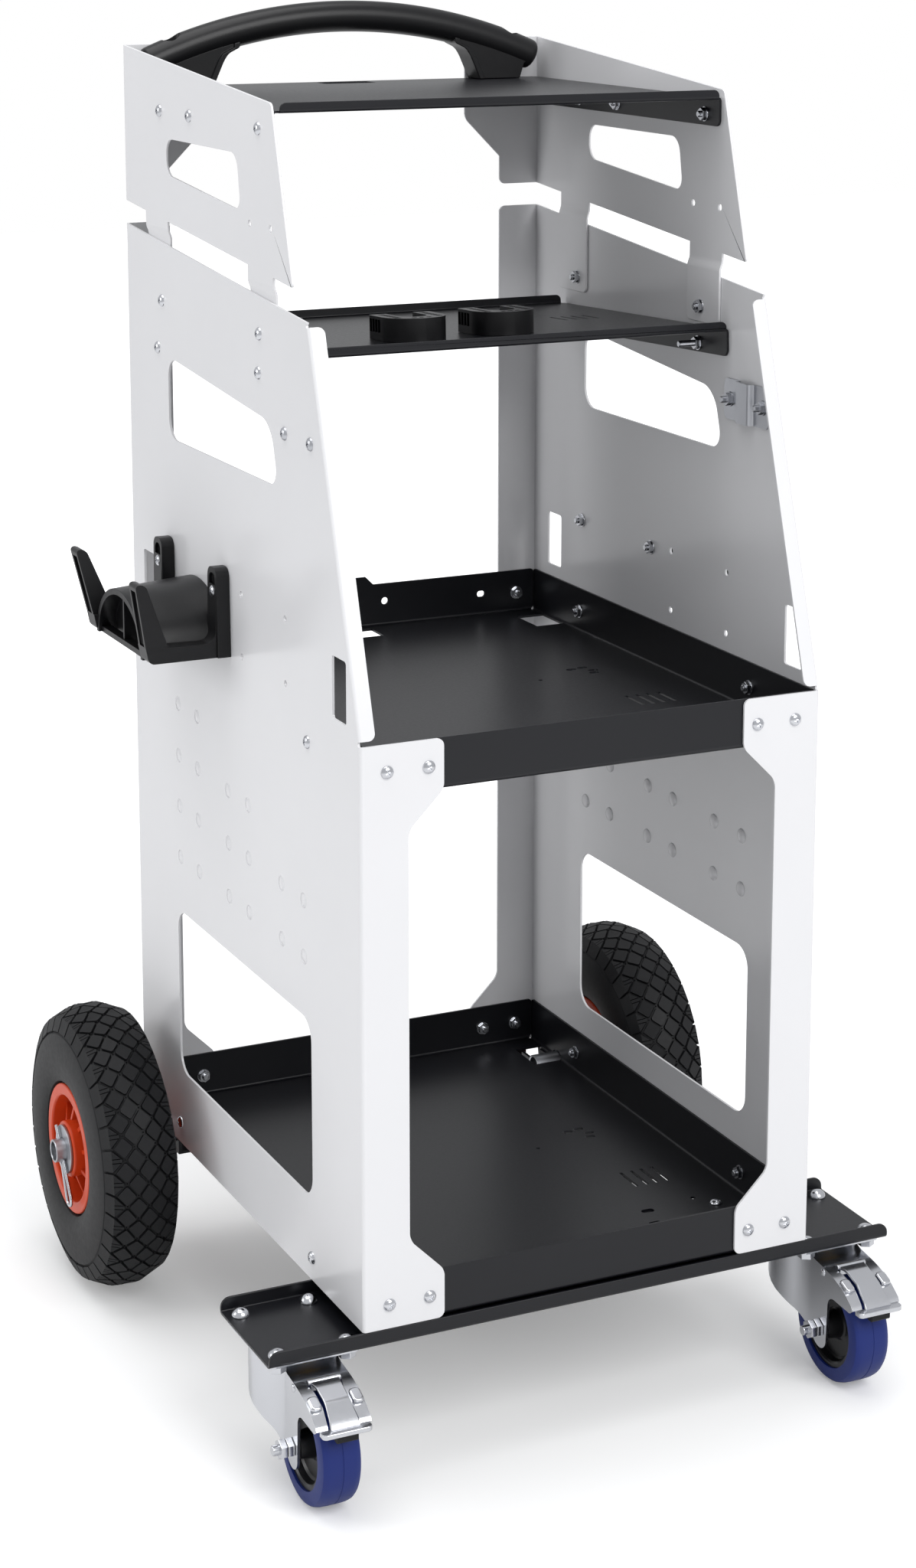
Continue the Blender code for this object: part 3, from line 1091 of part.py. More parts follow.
def fork(label, swivel):
    """Pressed fork: side view and plan view cut from one block, then roofed and notched for the pedal."""
    half = FORK_WIDTH / 2
    inner = half - FORK_SHEET
    axle = (-CASTOR_TRAIL, CASTOR_WHEEL_RADIUS)
    front = axle[0] - NOSE - 0.01
    wall = fork_wall(half, FORK_CROWN_RADIUS, front)
    wall += fork_wall(inner, FORK_CROWN_RADIUS - FORK_SHEET, front)[::-1]
    tall = filled([wall], 2 * CASTOR_TOP, Matrix.Translation((0, 0, CASTOR_TOP)))
    made = node(label + "_fork", tall, ZINC, parent=swivel)
    shape(made, "INTERSECT", filled([fork_outline()], 4 * FORK_WIDTH, basis((0, 0, 0), BACK, UP)))
    sunk = 0.0001
    roof = [(y, z - sunk) for y, z in hood_top()]
    roof.insert(0, (axle[0] - NOSE + 0.0025, 2 * CASTOR_WHEEL_RADIUS - 0.0098 - sunk))
    roof[-1] = (roof[-1][0], FORK_TOP - sunk)
    roof.append((0, FORK_TOP - sunk))
    sheet = roof + [(y, z - FORK_SHEET) for y, z in reversed(roof)]
    shape(made, "UNION", filled([sheet], 2 * (half - sunk), basis((0, 0, 0), BACK, UP)))
    crown = rod(FORK_CROWN_RADIUS - sunk, FORK_TOP - FORK_SHEET - sunk, FORK_TOP - 2 * sunk, 14)
    shape(made, "UNION", crown)
    shape(made, "DIFFERENCE", rod(1.11 * KING_PIN_RADIUS, FORK_TOP - 0.01, FORK_TOP + 0.01, 8))
    side = 0.58 * PEDAL_WIDTH
    notch = rectangle((-side, front - 0.01), (side, PEDAL_PIN[0] - 0.002))
    shape(made, "DIFFERENCE", filled([notch], 0.06, Matrix.Translation((0, 0, 2 * CASTOR_WHEEL_RADIUS))))
    bore = rod(CASTOR_BOLT_RADIUS + HOLE_CLEARANCE, -0.05, 0.05, 8, facing((0, *axle), RIGHT))
    shape(made, "DIFFERENCE", bore)


def castor_wheel(label, swivel):
    """Blue tread on a dished black hub, turning on the axle bolt."""
    pivot = empty(label + "_axle_pivot", swivel, (0, -CASTOR_TRAIL, CASTOR_WHEEL_RADIUS))
    along = facing((0, 0, 0), RIGHT)
    half, radius = CASTOR_WHEEL_WIDTH / 2, CASTOR_WHEEL_RADIUS
    band = radius - BAND_DEPTH
    half_tread = [(band, half), (radius - 0.005, half), (radius - 0.0012, half - 0.0022),
                  (radius, half - 0.007)]
    tread = half_tread + [(r, -z) for r, z in reversed(half_tread)]
    node(label + "_tread", turned(tread, CASTOR_SIDES, along, closed=True), BLUE_TREAD, parent=pivot)
    hub_half = FORK_WIDTH / 2 - FORK_SHEET - GAP
    bore = running_bore(CASTOR_BOLT_RADIUS, CASTOR_SIDES)
    half_hub = [(bore, hub_half), (0.010, hub_half), (0.012, 0.006), (band - 0.008, 0.0075),
                (band - 0.006, half - 0.003), (band - GAP, half - 0.003)]
    hub = half_hub + [(r, -z) for r, z in reversed(half_hub)]
    node(label + "_hub", turned(hub, CASTOR_SIDES, along, closed=True), PLASTIC, parent=pivot)
    face = FORK_WIDTH / 2 + GAP
    head, shank = 0.0072, CASTOR_BOLT_RADIUS
    bolt_profile = [(0, face + 0.005), (head, face + 0.005), (head, face), (shank, face), (shank, -face),
                    (head, -face), (head, -face - 0.0055), (shank + 0.001, -face - 0.006),
                    (head, -face - 0.0065), (head, -face - 0.012), (shank, -face - 0.012),
                    (shank, -face - 0.017), (0, -face - 0.017)]
    place = (0, -CASTOR_TRAIL, CASTOR_WHEEL_RADIUS)
    node(label + "_axle_bolt", turned(bolt_profile, 6, along), ZINC, parent=swivel, place=place)


def brake(label, swivel):
    """Foot pedal in the nose's notch, tipping on a pin through the fork, with its rubber pad."""
    pivot = empty(label + "_pedal_pivot", swivel, (0, *PEDAL_PIN))
    tread = 2 * CASTOR_WHEEL_RADIUS - PEDAL_PIN[1]
    front = -NOSE - CASTOR_TRAIL - PEDAL_PIN[0]
    tip = -PEDAL_REACH - PEDAL_PIN[0]
    tongue = [(-0.004, tread + 0.0078), (-0.016, tread + 0.0066), (-0.034, tread + 0.0006),
              (front + 0.001, tread - 0.0088), (front - 0.003, tread - 0.0125)]
    strip = tongue + [(y + 0.0006, z - PEDAL_SHEET) for y, z in reversed(tongue)]
    upright = basis((0, 0, 0), BACK, UP)
    made = node(label + "_pedal", filled([strip], PEDAL_WIDTH, upright), ZINC, parent=pivot)
    half = PEDAL_LIP_WIDTH / 2
    lip = rounded(rectangle((-half, tip), (half, front - 0.0012)), 0.2 * half, 2, only=(0, 1))
    shape(made, "UNION", filled([lip], 0.0042, Matrix.Translation((0, 0, tread - 0.0148))))
    low, high = -0.0018, 0.0006
    web = rectangle((-0.009, low), (-0.0045, tread + 0.0065))
    shape(made, "UNION", filled([web], PEDAL_WIDTH - SINK, upright))
    bar = rectangle((-0.0088, low + SINK), (-0.0047, high))
    inner = FORK_WIDTH / 2 - FORK_SHEET - 0.0006
    shape(made, "UNION", filled([bar], 2 * inner - SINK, upright))
    arm = [(-0.0086, low), (0.0035, low), (0.0035, 0.0018), (-0.0015, 0.0018), (-0.0086, high - SINK)]
    for sx in (-1, 1):
        shape(made, "UNION", filled([arm], 0.0024, basis((sx * (inner - 0.0012), 0, 0), BACK, UP)))
    pad = rectangle((tip + 0.001, tread - 0.023), (front - 0.0005, tread - 0.0169 - GAP))
    pad = rounded(pad, 0.0015, 1, only=(0, 1))
    node(label + "_pad", filled([pad], 0.45 * PEDAL_LIP_WIDTH, upright), RUBBER, parent=pivot)


for label, side in SIDES:
    lower_panel(label + "_lower_panel", side)
    upper_panel(label + "_upper_panel", side)
top_shelf()
middle_shelf()
slots = cable_slots(TRAY_SLOTS_Y)
tray("middle_tray", BODY_BOTTOM + MIDDLE_TRAY_RISE, slots + ovals(TRAY_OVALS))
lower = tray("lower_tray", BODY_BOTTOM, slots + tray_screw_holes() + ovals(LOWER_OVALS))
base_channel()
for label, side in SIDES:
    shape(lower, "DIFFERENCE", axle_notch(side))
    axle_bracket(label + "_axle_bracket", side)
    rear_axle(label, side)
    rear_wheel(label + "_wheel", side)
    castor(label + "_castor", side)
    cable_hook(label + "_cable_hook", side)
    clip_plate(label + "_clip_plate", side)
handle()
rest("left_rest", *LEFT_REST)
rest("right_rest", *RIGHT_REST)
for label, side in SIDES:
    tray_screw(label, side)
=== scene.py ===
"""Looks of the charger cart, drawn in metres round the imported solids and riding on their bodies.

Every piece is drawn with y counted from the side panels' front face and then set back into the frame.
"""

import math

import bmesh
import bpy
from mathutils import Matrix, Vector


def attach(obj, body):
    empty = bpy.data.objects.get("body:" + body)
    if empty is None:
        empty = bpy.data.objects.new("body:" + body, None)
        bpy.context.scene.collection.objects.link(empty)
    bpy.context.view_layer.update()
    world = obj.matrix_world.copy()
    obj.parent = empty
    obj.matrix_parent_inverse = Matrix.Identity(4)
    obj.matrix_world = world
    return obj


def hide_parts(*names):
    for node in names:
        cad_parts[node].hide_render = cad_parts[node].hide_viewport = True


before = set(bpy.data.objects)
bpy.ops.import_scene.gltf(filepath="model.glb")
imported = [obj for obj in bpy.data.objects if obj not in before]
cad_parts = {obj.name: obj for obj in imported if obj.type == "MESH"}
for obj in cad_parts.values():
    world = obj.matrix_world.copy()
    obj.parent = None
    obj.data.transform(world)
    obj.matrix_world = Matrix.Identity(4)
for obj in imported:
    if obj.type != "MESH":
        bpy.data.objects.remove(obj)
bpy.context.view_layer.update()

# Base channel
# A shallow trough of 2.5 mm steel, folded up along both long edges and powder-coated black. It lies
# across the front on the two castor plates, whose bolts come up through it.
RIGHT, BACK, UP = Vector((1, 0, 0)), Vector((0, 1, 0)), Vector((0, 0, 1))
PANEL_FRONT = -0.2665
BASE_HALF, BASE_FRONT, BASE_BACK = 0.2875, 0.00075, 0.10825
BASE_LEVEL, BASE_LIP, BASE_SHEET = 0.12125, 0.01245, 0.0025
TRAY_SCREW_X, TRAY_SCREW_Y = 0.171, 0.094


def mesh_from(work, place=None, weld=True):
    """Mesh of a finished bmesh, carried to a place, as a rule welded and with its faces pointing out."""
    if place is not None:
        bmesh.ops.transform(work, matrix=place, verts=work.verts)
    if weld:
        bmesh.ops.remove_doubles(work, verts=work.verts, dist=0.000001)
        bmesh.ops.recalc_face_normals(work, faces=work.faces)
    mesh = bpy.data.meshes.new("shape")
    work.to_mesh(mesh)
    work.free()
    return mesh


def opened(*meshes):
    """Bmesh that holds a copy of each mesh."""
    work = bmesh.new()
    for mesh in meshes:
        work.from_mesh(mesh)
    return work


def joined(meshes):
    """Several meshes laid together in one."""
    return mesh_from(opened(*meshes), weld=False)


def modified(mesh, kind, **settings):
    """Mesh as one modifier leaves it."""
    holder = bpy.data.objects.new("holder", mesh)
    bpy.context.scene.collection.objects.link(holder)
    change = holder.modifiers.new("change", kind)
    for key, value in settings.items():
        setattr(change, key, value)
    graph = bpy.context.evaluated_depsgraph_get()
    done = bpy.data.meshes.new_from_object(holder.evaluated_get(graph))
    bpy.data.objects.remove(holder)
    return done


def bevelled(work, geom, size, steps, affect="EDGES", **more):
    """Round some edges or corners of a bmesh."""
    bmesh.ops.bevel(work, geom=geom, offset=size, offset_type="OFFSET", segments=steps, profile=0.5,
                    affect=affect, material=-1, **more)


def points_of(geom):
    """Points among what an operator made."""
    return [item for item in geom if isinstance(item, bmesh.types.BMVert)]


def shift(x, y, z):
    """Matrix that moves to a point."""
    return Matrix.Translation((x, y, z))


def plane(origin, across, along):
    """Matrix that carries the XY plane to two directions at a point."""
    across, along = Vector(across), Vector(along)
    turn = Matrix((across, along, across.cross(along))).transposed().to_4x4()
    return Matrix.Translation(origin) @ turn


def facing(point, direction):
    """Matrix that carries +Z to a direction at a point."""
    return Matrix.Translation(point) @ Vector(direction).to_track_quat("Z", "Y").to_matrix().to_4x4()


def rectangle(x0, y0, x1, y1):
    """Corners of a rectangle."""
    return [(x0, y0), (x1, y0), (x1, y1), (x0, y1)]


def flat(corners, place, rounds=None):
    """One flat face from its corners; rounds gives the radius of each corner that is rounded."""
    work = bmesh.new()
    points = [work.verts.new((*corner, 0.0)) for corner in corners]
    work.faces.new(points)
    for number, radius in (rounds or {}).items():
        bevelled(work, [points[number]], radius, 9, "VERTICES")
    return mesh_from(work, place)


def folded(flats, sheet, bend=0.0018):
    """Flats that meet at bend lines, with the bends rounded, as sheet of an even thickness."""
    work = opened(*flats)
    bmesh.ops.remove_doubles(work, verts=work.verts, dist=0.00002)
    bmesh.ops.recalc_face_normals(work, faces=work.faces)
    bends = [edge for edge in work.edges if len(edge.link_faces) == 2 and edge.calc_face_angle() > 0.2]
    bevelled(work, bends, bend, 4)
    return modified(mesh_from(work), "SOLIDIFY", thickness=sheet, offset=0.0, use_even_offset=True)


def punch(corners, place, rounds=None, depth=0.02):
    """Flat outline as a block, also a tool that cuts it through a sheet; one radius may round all corners."""
    if isinstance(rounds, float):
        rounds = {number: rounds for number in range(len(corners))}
    work = opened(flat(corners, shift(0, 0, -depth / 2), rounds))
    raised = bmesh.ops.extrude_face_region(work, geom=work.faces[:])
    bmesh.ops.translate(work, verts=points_of(raised["geom"]), vec=(0, 0, depth))
    return mesh_from(work, place)


def drill(point, direction, radius, depth=0.02, sides=24):
    """Tool that cuts a round hole."""
    work = bmesh.new()
    bmesh.ops.create_cone(work, cap_ends=True, segments=sides, radius1=radius, radius2=radius, depth=depth,
                          matrix=facing(point, direction))
    return mesh_from(work)


def cut(mesh, tools, operation="DIFFERENCE"):
    """Mesh with tools cut out of it, or with INTERSECT only what it shares with them."""
    tool = bpy.data.objects.new("tool", joined(tools))
    bpy.context.scene.collection.objects.link(tool)
    done = modified(mesh, "BOOLEAN", operation=operation, solver="EXACT", object=tool)
    bpy.data.objects.remove(tool)
    return done


def dial(node, settings):
    """Set the inputs of a shader node."""
    for key, value in settings.items():
        node.inputs[key].default_value = value


def surface(name, slot, colour, rough, metal=0.0, grain=900, relief=0.00001, drift=0.05, shine=0.5):
    """Procedural finish and its slot: a fine grain in the surface and slow drifts of tone and gloss."""
    made = bpy.data.materials.new(name)
    made.use_nodes = True
    nodes, links = made.node_tree.nodes, made.node_tree.links
    shader = nodes["Principled BSDF"]
    dial(shader, {"Metallic": metal, "Specular IOR Level": shine})
    where = nodes.new("ShaderNodeTexCoord")

    def noise(scale, detail):
        """Noise over the piece's own coordinates."""
        speckle = nodes.new("ShaderNodeTexNoise")
        dial(speckle, {"Scale": scale, "Detail": detail})
        links.new(where.outputs["Object"], speckle.inputs["Vector"])
        return speckle.outputs["Fac"]

    tone = nodes.new("ShaderNodeValToRGB")
    for stop, position, share in zip(tone.color_ramp.elements, (0.3, 0.7), (1 - drift, 1 + drift)):
        stop.color = (*[min(1.0, channel * share) for channel in colour], 1.0)
        stop.position = position
    links.new(noise(7.0, 4.0), tone.inputs["Fac"])
    links.new(tone.outputs["Color"], shader.inputs["Base Color"])
    gloss = nodes.new("ShaderNodeMapRange")
    dial(gloss, {"To Min": rough * 0.85, "To Max": min(1.0, rough * 1.15)})
    links.new(noise(grain / 6, 3.0), gloss.inputs["Value"])
    links.new(gloss.outputs["Result"], shader.inputs["Roughness"])
    bump = nodes.new("ShaderNodeBump")
    dial(bump, {"Strength": 0.7, "Distance": relief})
    links.new(noise(grain, 2.0), bump.inputs["Height"])
    links.new(bump.outputs["Normal"], shader.inputs["Normal"])
    return made, slot


def piece(name, mesh, finish, body, *nodes, soften=0.0004):
    """Finished piece, set back into the frame, riding on a body in place of its CAD nodes."""
    material, slot = finish
    mesh.name = name
    mesh.transform(shift(0, PANEL_FRONT, 0))
    mesh.materials.clear()
    mesh.materials.append(material)
    mesh.shade_smooth()
    mesh.set_sharp_from_angle(angle=math.radians(32))
    made = bpy.data.objects.new(name, mesh)
    bpy.context.scene.collection.objects.link(made)
    if soften:
        edges = made.modifiers.new("soft edges", "BEVEL")
        edges.width, edges.segments, edges.limit_method = soften, 2, "ANGLE"
        edges.angle_limit = math.radians(35)
        edges.harden_normals = True
    made.modifiers.new("even shading", "WEIGHTED_NORMAL").keep_sharp = True
    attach(made, body)
    if nodes:
        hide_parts(*nodes)


black_coat = surface("satin black coat", "black_coat", (0.0068, 0.0071, 0.0095), 0.33, grain=2200,
                     relief=0.00004, shine=0.35)
base_floor = rectangle(-BASE_HALF, BASE_FRONT, BASE_HALF, BASE_BACK)
base_lip = rectangle(-BASE_HALF, 0, BASE_HALF, BASE_LIP)
base_flats = [flat(base_floor, shift(0, 0, BASE_LEVEL))]
for y in (BASE_FRONT, BASE_BACK):
    base_flats.append(flat(base_lip, plane((0, y, BASE_LEVEL), RIGHT, UP), {2: 0.0085, 3: 0.0085}))
base_holes = [drill((sx * TRAY_SCREW_X, TRAY_SCREW_Y, BASE_LEVEL), UP, 0.0035) for sx in (-1, 1)]
base_mesh = cut(folded(base_flats, BASE_SHEET, BASE_SHEET), base_holes)
piece("base_trough", base_mesh, black_coat, "cart", "base_channel")

# Lower and middle trays
# Pans of 2 mm steel with four folded walls, black satin coat over a fine texture. Each hangs between
# the side panels on bolts and has cable slots, oval fixing holes and a raised tab in its back wall.
SHEET, DECK_HALF, NOTCH, CORNER_GAP = 0.002, 0.2032, 0.004, 0.00106
PANEL_FOOT, MIDDLE_TRAY = 0.134, 0.576
TRAY_FRONT, TRAY_BACK, TRAY_WALL, TRAY_BEND = 0.0033, 0.5217, 0.041, 0.0034
AXLE_Y, AXLE_Z = 0.463, 0.13
CABLE_SLOTS = (0.1255, 0.136, 0.146, 0.157)
TRAY_OVALS = ((0.125, 0.289), (0.137, 0.291), (0.142, 0.279), (0.139, 0.271))
LOWER_OVALS = ((0.109, 0.105), (0.103, 0.08))


def block(x, y, half_x, half_y, place, corner=None, depth=0.02):
    """Rectangular block round a point of a plane, its corners rounded; also cuts an opening."""
    return punch(rectangle(x - half_x, y - half_y, x + half_x, y + half_y), place, corner, depth)


def axle_notch(side):
    """Tool that clears a stub axle."""
    return drill((side * 0.196, AXLE_Y, AXLE_Z), RIGHT, 0.0122, 0.04, 32)


def notched(low, high):
    """Outline of a deck between the panels, its corners notched so that the bends clear each other."""
    near, far, half = low + NOTCH, high - NOTCH, DECK_HALF - NOTCH
    return [(-DECK_HALF, near), (-half, near), (-half, low), (half, low), (half, near), (DECK_HALF, near),
            (DECK_HALF, far), (half, far), (half, high), (-half, high), (-half, far), (-DECK_HALF, far)]


def tray_wall(half, place, tab=()):
    """Wall that stands on a tray's edge, its foot narrowed for the corner relief."""
    foot, side = half - NOTCH, half - CORNER_GAP
    corners = [(-foot, 0), (foot, 0), (side, NOTCH), (side, TRAY_WALL), *tab,
               (-side, TRAY_WALL), (-side, NOTCH)]
    return flat(corners, place, {3: 0.003, len(corners) - 2: 0.003})


def tray_mesh(bottom, extra):
    """Folded pan with its cut-outs."""
    level = bottom + SHEET / 2
    floor = shift(0, 0, level)
    tab = [(0.032, TRAY_WALL), (0.024, 0.049), (-0.024, 0.049), (-0.032, TRAY_WALL)]
    middle, half = (TRAY_FRONT + TRAY_BACK) / 2, (TRAY_BACK - TRAY_FRONT) / 2
    flats = [flat(notched(TRAY_FRONT, TRAY_BACK), floor),
             tray_wall(DECK_HALF, plane((0, TRAY_FRONT, level), RIGHT, UP)),
             tray_wall(DECK_HALF, plane((0, TRAY_BACK, level), RIGHT, UP), tab)]
    flats += [tray_wall(half, plane((x, middle, level), BACK, UP)) for x in (-DECK_HALF, DECK_HALF)]
    tools = [block(0, 0.4952, 0.025, 0.0145, floor, 0.0008)]
    tools += [block(sx * 0.1862, 0.474, 0.014, 0.022, floor, 0.0008) for sx in (-1, 1)]
    tools += [block(x, 0.1705, 0.0015, 0.0165, floor, 0.0014) for x in CABLE_SLOTS]
    tools += [block(x, y, 0.005, 0.003, floor, 0.0028) for x, y in TRAY_OVALS]
    tools.append(drill((0.083, 0.267, level), UP, 0.002))
    tools.append(drill((0.0438, TRAY_BACK, bottom + 0.025), BACK, 0.0035))
    tools.append(block(0.1454, 0.022, 0.004, 0.003, plane((0, TRAY_BACK, bottom), RIGHT, UP), 0.0028))
    return cut(folded(flats, SHEET, TRAY_BEND), tools + extra)


piece("middle_pan", tray_mesh(MIDDLE_TRAY, []), black_coat, "cart", "middle_tray")
lower_level = PANEL_FOOT + SHEET / 2
lower_cuts = [block(x, y, 0.006, 0.0035, shift(0, 0, lower_level), 0.0033) for x, y in LOWER_OVALS]
lower_cuts.append(drill((0.158, 0.112, lower_level), UP, 0.0025))
lower_cuts += [drill((sx * TRAY_SCREW_X, TRAY_SCREW_Y, lower_level), UP, 0.0034) for sx in (-1, 1)]
lower_pan = cut(tray_mesh(PANEL_FOOT, lower_cuts), [axle_notch(side) for side in (-1, 1)])
piece("lower_pan", lower_pan, black_coat, "cart", "lower_tray")

# Lower side panels
# Pressed from 2 mm steel sheet with flanges folded inward at the front, the back and along the slanted
# corner, then coated light grey. Windows lighten them; round dimples stiffen the flat between.
coat = surface("light grey coat", "grey_white_coat", (0.735, 0.735, 0.75), 0.2, grain=1500,
               relief=0.000005, drift=0.012)
SIDES = (("left", -1), ("right", 1))
PANEL_BACK, PANEL_MID, PANEL_FACE = 0.2045, 0.2055, 0.2065
FRONT_MID, BACK_MID, PANEL_DEPTH = 0.001, 0.524, 0.525
FRONT_HEIGHT, BACK_HEIGHT = 0.484, 0.839
SLANT_TOP, SLANT_RUN, SLANT_RISE = 0.801, 0.099, 0.317
EAR, FLANGE, DIMPLE = 0.0705, 0.04, 0.0066
LEAN = math.atan2(SLANT_RUN - FRONT_MID, SLANT_RISE)
SLOPE = Vector((0, math.sin(LEAN), math.cos(LEAN)))
DIMPLES = [(y, z) for y in (0.4104, 0.362) for z in (0.5547, 0.507, 0.46, 0.4123)]
DIMPLES += [(y, z) for y in (0.288, 0.2405) for z in (0.507, 0.46, 0.412)]
DIMPLES += [(y, z) for y in (0.166, 0.118) for z in (0.46, 0.412)]


def top_edge(y):
    """Height of a lower panel's sloping top edge over its foot."""
    return SLANT_TOP + (BACK_HEIGHT - SLANT_TOP) / (PANEL_DEPTH - SLANT_RUN) * (y - SLANT_RUN)


def over(y, rise):
    """Point of a panel's outline that lies a rise over the sloping top edge."""
    return (y, top_edge(y) + rise)


def ball(radii, sides):
    """Bmesh of an ellipsoid."""
    work = bmesh.new()
    bmesh.ops.create_uvsphere(work, u_segments=sides, v_segments=sides // 2, radius=1.0)
    bmesh.ops.scale(work, verts=work.verts, vec=radii)
    return work


def lower_side(side):
    """Folded lower panel with its windows, slots, spare holes and dimples."""
    inward, relief = -side * RIGHT, 0.0025
    start, end = NOTCH, SLANT_RISE / math.cos(LEAN) - NOTCH

    def on_slant(along, inset=0.0):
        """Point along the slanted corner."""
        return (FRONT_MID + along * SLOPE.y + inset * SLOPE.z,
                FRONT_HEIGHT + along * SLOPE.z - inset * SLOPE.y)

    outline = [(FRONT_MID, 0), (BACK_MID, 0), (BACK_MID, BACK_HEIGHT), (SLANT_RUN, SLANT_TOP),
               on_slant(end + 0.002, relief), on_slant(end, relief), on_slant(end), on_slant(start),
               on_slant(start, relief), (FRONT_MID + relief, FRONT_HEIGHT), (FRONT_MID, FRONT_HEIGHT)]
    foot = [(0, 0), (EAR, 0), (EAR, 0.041), (FLANGE, 0.0715)]
    front_flange = foot + [(FLANGE, 0.4125), (EAR, 0.443), (EAR, FRONT_HEIGHT), (0, FRONT_HEIGHT)]
    back_flange = foot + [(FLANGE, BACK_HEIGHT), (0, BACK_HEIGHT)]
    corner = Vector((side * PANEL_MID, FRONT_MID, PANEL_FOOT + FRONT_HEIGHT))
    wall = plane((side * PANEL_MID, 0, PANEL_FOOT), BACK, UP)
    ear = {1: 0.006, 2: 0.005, 3: 0.006}
    flats = [flat(outline, wall),
             flat(front_flange, plane((side * PANEL_MID, FRONT_MID, PANEL_FOOT), inward, UP),
                  {**ear, 4: 0.006, 5: 0.005, 6: 0.006}),
             flat(back_flange, plane((side * PANEL_MID, BACK_MID, PANEL_FOOT), inward, UP),
                  {**ear, 4: 0.006}),
             flat(rectangle(start, 0, end, 0.013), plane(corner, SLOPE, inward), {2: 0.006, 3: 0.006})]
    front, rear, sill, rim = 0.163, 0.42, 0.6595, 0.0975
    brow = front + SLANT_RUN / SLANT_RISE * (top_edge(front) - rim - sill)
    high = [(front, sill), (rear, sill), over(rear, -rim), over(brow, -rim)]
    tools = [punch(rectangle(0.104, 0.072, rear, 0.227), wall, 0.019), punch(high, wall, 0.019)]
    tools += [block(y, 0.5205, 0.014, 0.0255, wall, 0.003) for y in (0.04, 0.48)]
    tools += [drill((side * PANEL_MID, y, z), RIGHT, 0.003)
              for y in (0.1517, 0.25) for z in (0.6336, 0.6875)]
    tools.append(axle_notch(side))
    domes = []
    for y, z in DIMPLES:
        tools.append(mesh_from(ball((0.0017, DIMPLE, DIMPLE), 24), shift(side * PANEL_FACE, y, z)))
        domes.append(mesh_from(ball((0.0026, DIMPLE, DIMPLE), 24), shift(side * PANEL_BACK, y, z)))
    return joined([cut(folded(flats, SHEET), tools)] + domes)


for label, side in SIDES:
    piece(label + "_lower_side", lower_side(side), coat, "cart", label + "_lower_panel")

# Upper side panels
# The same coated sheet, one flange folded inward at the back. Two legs are joggled inward so that they
# slip inside the lower panel, where one bolt each holds them.


def upper_side(side):
    """Folded upper panel with its window, joggled legs and spare holes."""
    gap, joggle, top = 0.021, 0.006, 0.9977
    wall = plane((side * PANEL_MID, 0, PANEL_FOOT), BACK, UP)
    inside = plane((side * DECK_HALF, 0, PANEL_FOOT), BACK, UP)
    step = Vector((side * (DECK_HALF - PANEL_MID), 0, -joggle))
    outline = [over(0.128, gap)]
    flats = []
    for front, rear in ((0.169, 0.225), (0.415, 0.471)):
        bend = top_edge(rear) + 0.008
        outline += [over(front, gap), (front, bend), (rear, bend), over(rear, gap)]
        flats.append(flat(rectangle(front, 0, rear, step.length),
                          plane((side * PANEL_MID, 0, PANEL_FOOT + bend), BACK, step.normalized())))
        flats.append(flat(rectangle(front, 0.766, rear, bend - joggle), inside, {0: 0.006, 1: 0.006}))
    outline += [over(BACK_MID, gap), (BACK_MID, top), (0.17, 0.9666)]
    flats.append(flat(outline, wall, {0: 0.004, len(outline) - 1: 0.004}))
    seam = top_edge(BACK_MID) + gap
    flange = [(0, seam), (FLANGE, seam), (FLANGE, 0.8862), (0.0765, 0.9227), (0.0765, top), (0, top)]
    flats.append(flat(flange, plane((side * PANEL_MID, BACK_MID, PANEL_FOOT), -side * RIGHT, UP),
                      {1: 0.006, 3: 0.005, 4: 0.006}))
    rear, sill, brow = 0.4155, 0.062, 0.922
    tools = [punch([over(0.239, sill), over(rear, sill), (rear, brow), (0.247, brow)], wall, 0.013)]
    tools += [drill((side * PANEL_MID, y, 1.001), RIGHT, 0.003) for y in (0.174, 0.22)]
    return cut(folded(flats, SHEET), tools)


for label, side in SIDES:
    piece(label + "_upper_side", upper_side(side), coat, "cart", label + "_upper_panel")

# Top and middle shelves
# Folded from the same black-coated sheet, with side flanges turned down to take the bolts and a low lip
# turned up. The middle one slopes 2.5 degrees to the back and has lips front and back.


def shelf(origin, along, out, depth, back_lip, drop):
    """Folded shelf between the panels, drawn from its front edge."""
    half = DECK_HALF - NOTCH
    flats = [flat(notched(0, depth), plane(origin, RIGHT, along))]
    for edge, lip in ((origin, 0.0075), (origin + along * depth, back_lip)):
        if lip:
            flats.append(flat(rectangle(-half, 0, half, lip), plane(edge, RIGHT, out), {2: 0.005, 3: 0.005}))
    for sx in (-1, 1):
        flats.append(flat(rectangle(NOTCH, 0, depth - NOTCH, drop),
                          plane(origin + RIGHT * sx * DECK_HALF, along, -out), {2: 0.006, 3: 0.006}))
    return folded(flats, SHEET, 0.0022)


TILT = math.radians(2.5)
DECK_ALONG = Vector((0, math.cos(TILT), -math.sin(TILT)))
DECK_OUT = Vector((0, math.sin(TILT), math.cos(TILT)))
DECK_FRONT = Vector((0, 0.1505, 0.8988))
TOP_LEVEL = 1.0933
middle_deck = plane(DECK_FRONT, RIGHT, DECK_ALONG)
middle_cuts = [block(x, 0.1685, 0.0015, 0.0165, middle_deck, 0.0014) for x in CABLE_SLOTS]
middle_shelf = shelf(DECK_FRONT, DECK_ALONG, DECK_OUT, 0.31, 0.0085, 0.023)
piece("middle_deck", cut(middle_shelf, middle_cuts), black_coat, "cart", "middle_shelf")
top_cut = block(0, 0.5029, 0.025, 0.0125, shift(0, 0, TOP_LEVEL), 0.003)
top_shelf = shelf(Vector((0, 0.169, TOP_LEVEL)), BACK, UP, 0.3534, 0, 0.024)
piece("top_deck", cut(top_shelf, [top_cut]), black_coat, "cart", "top_shelf")

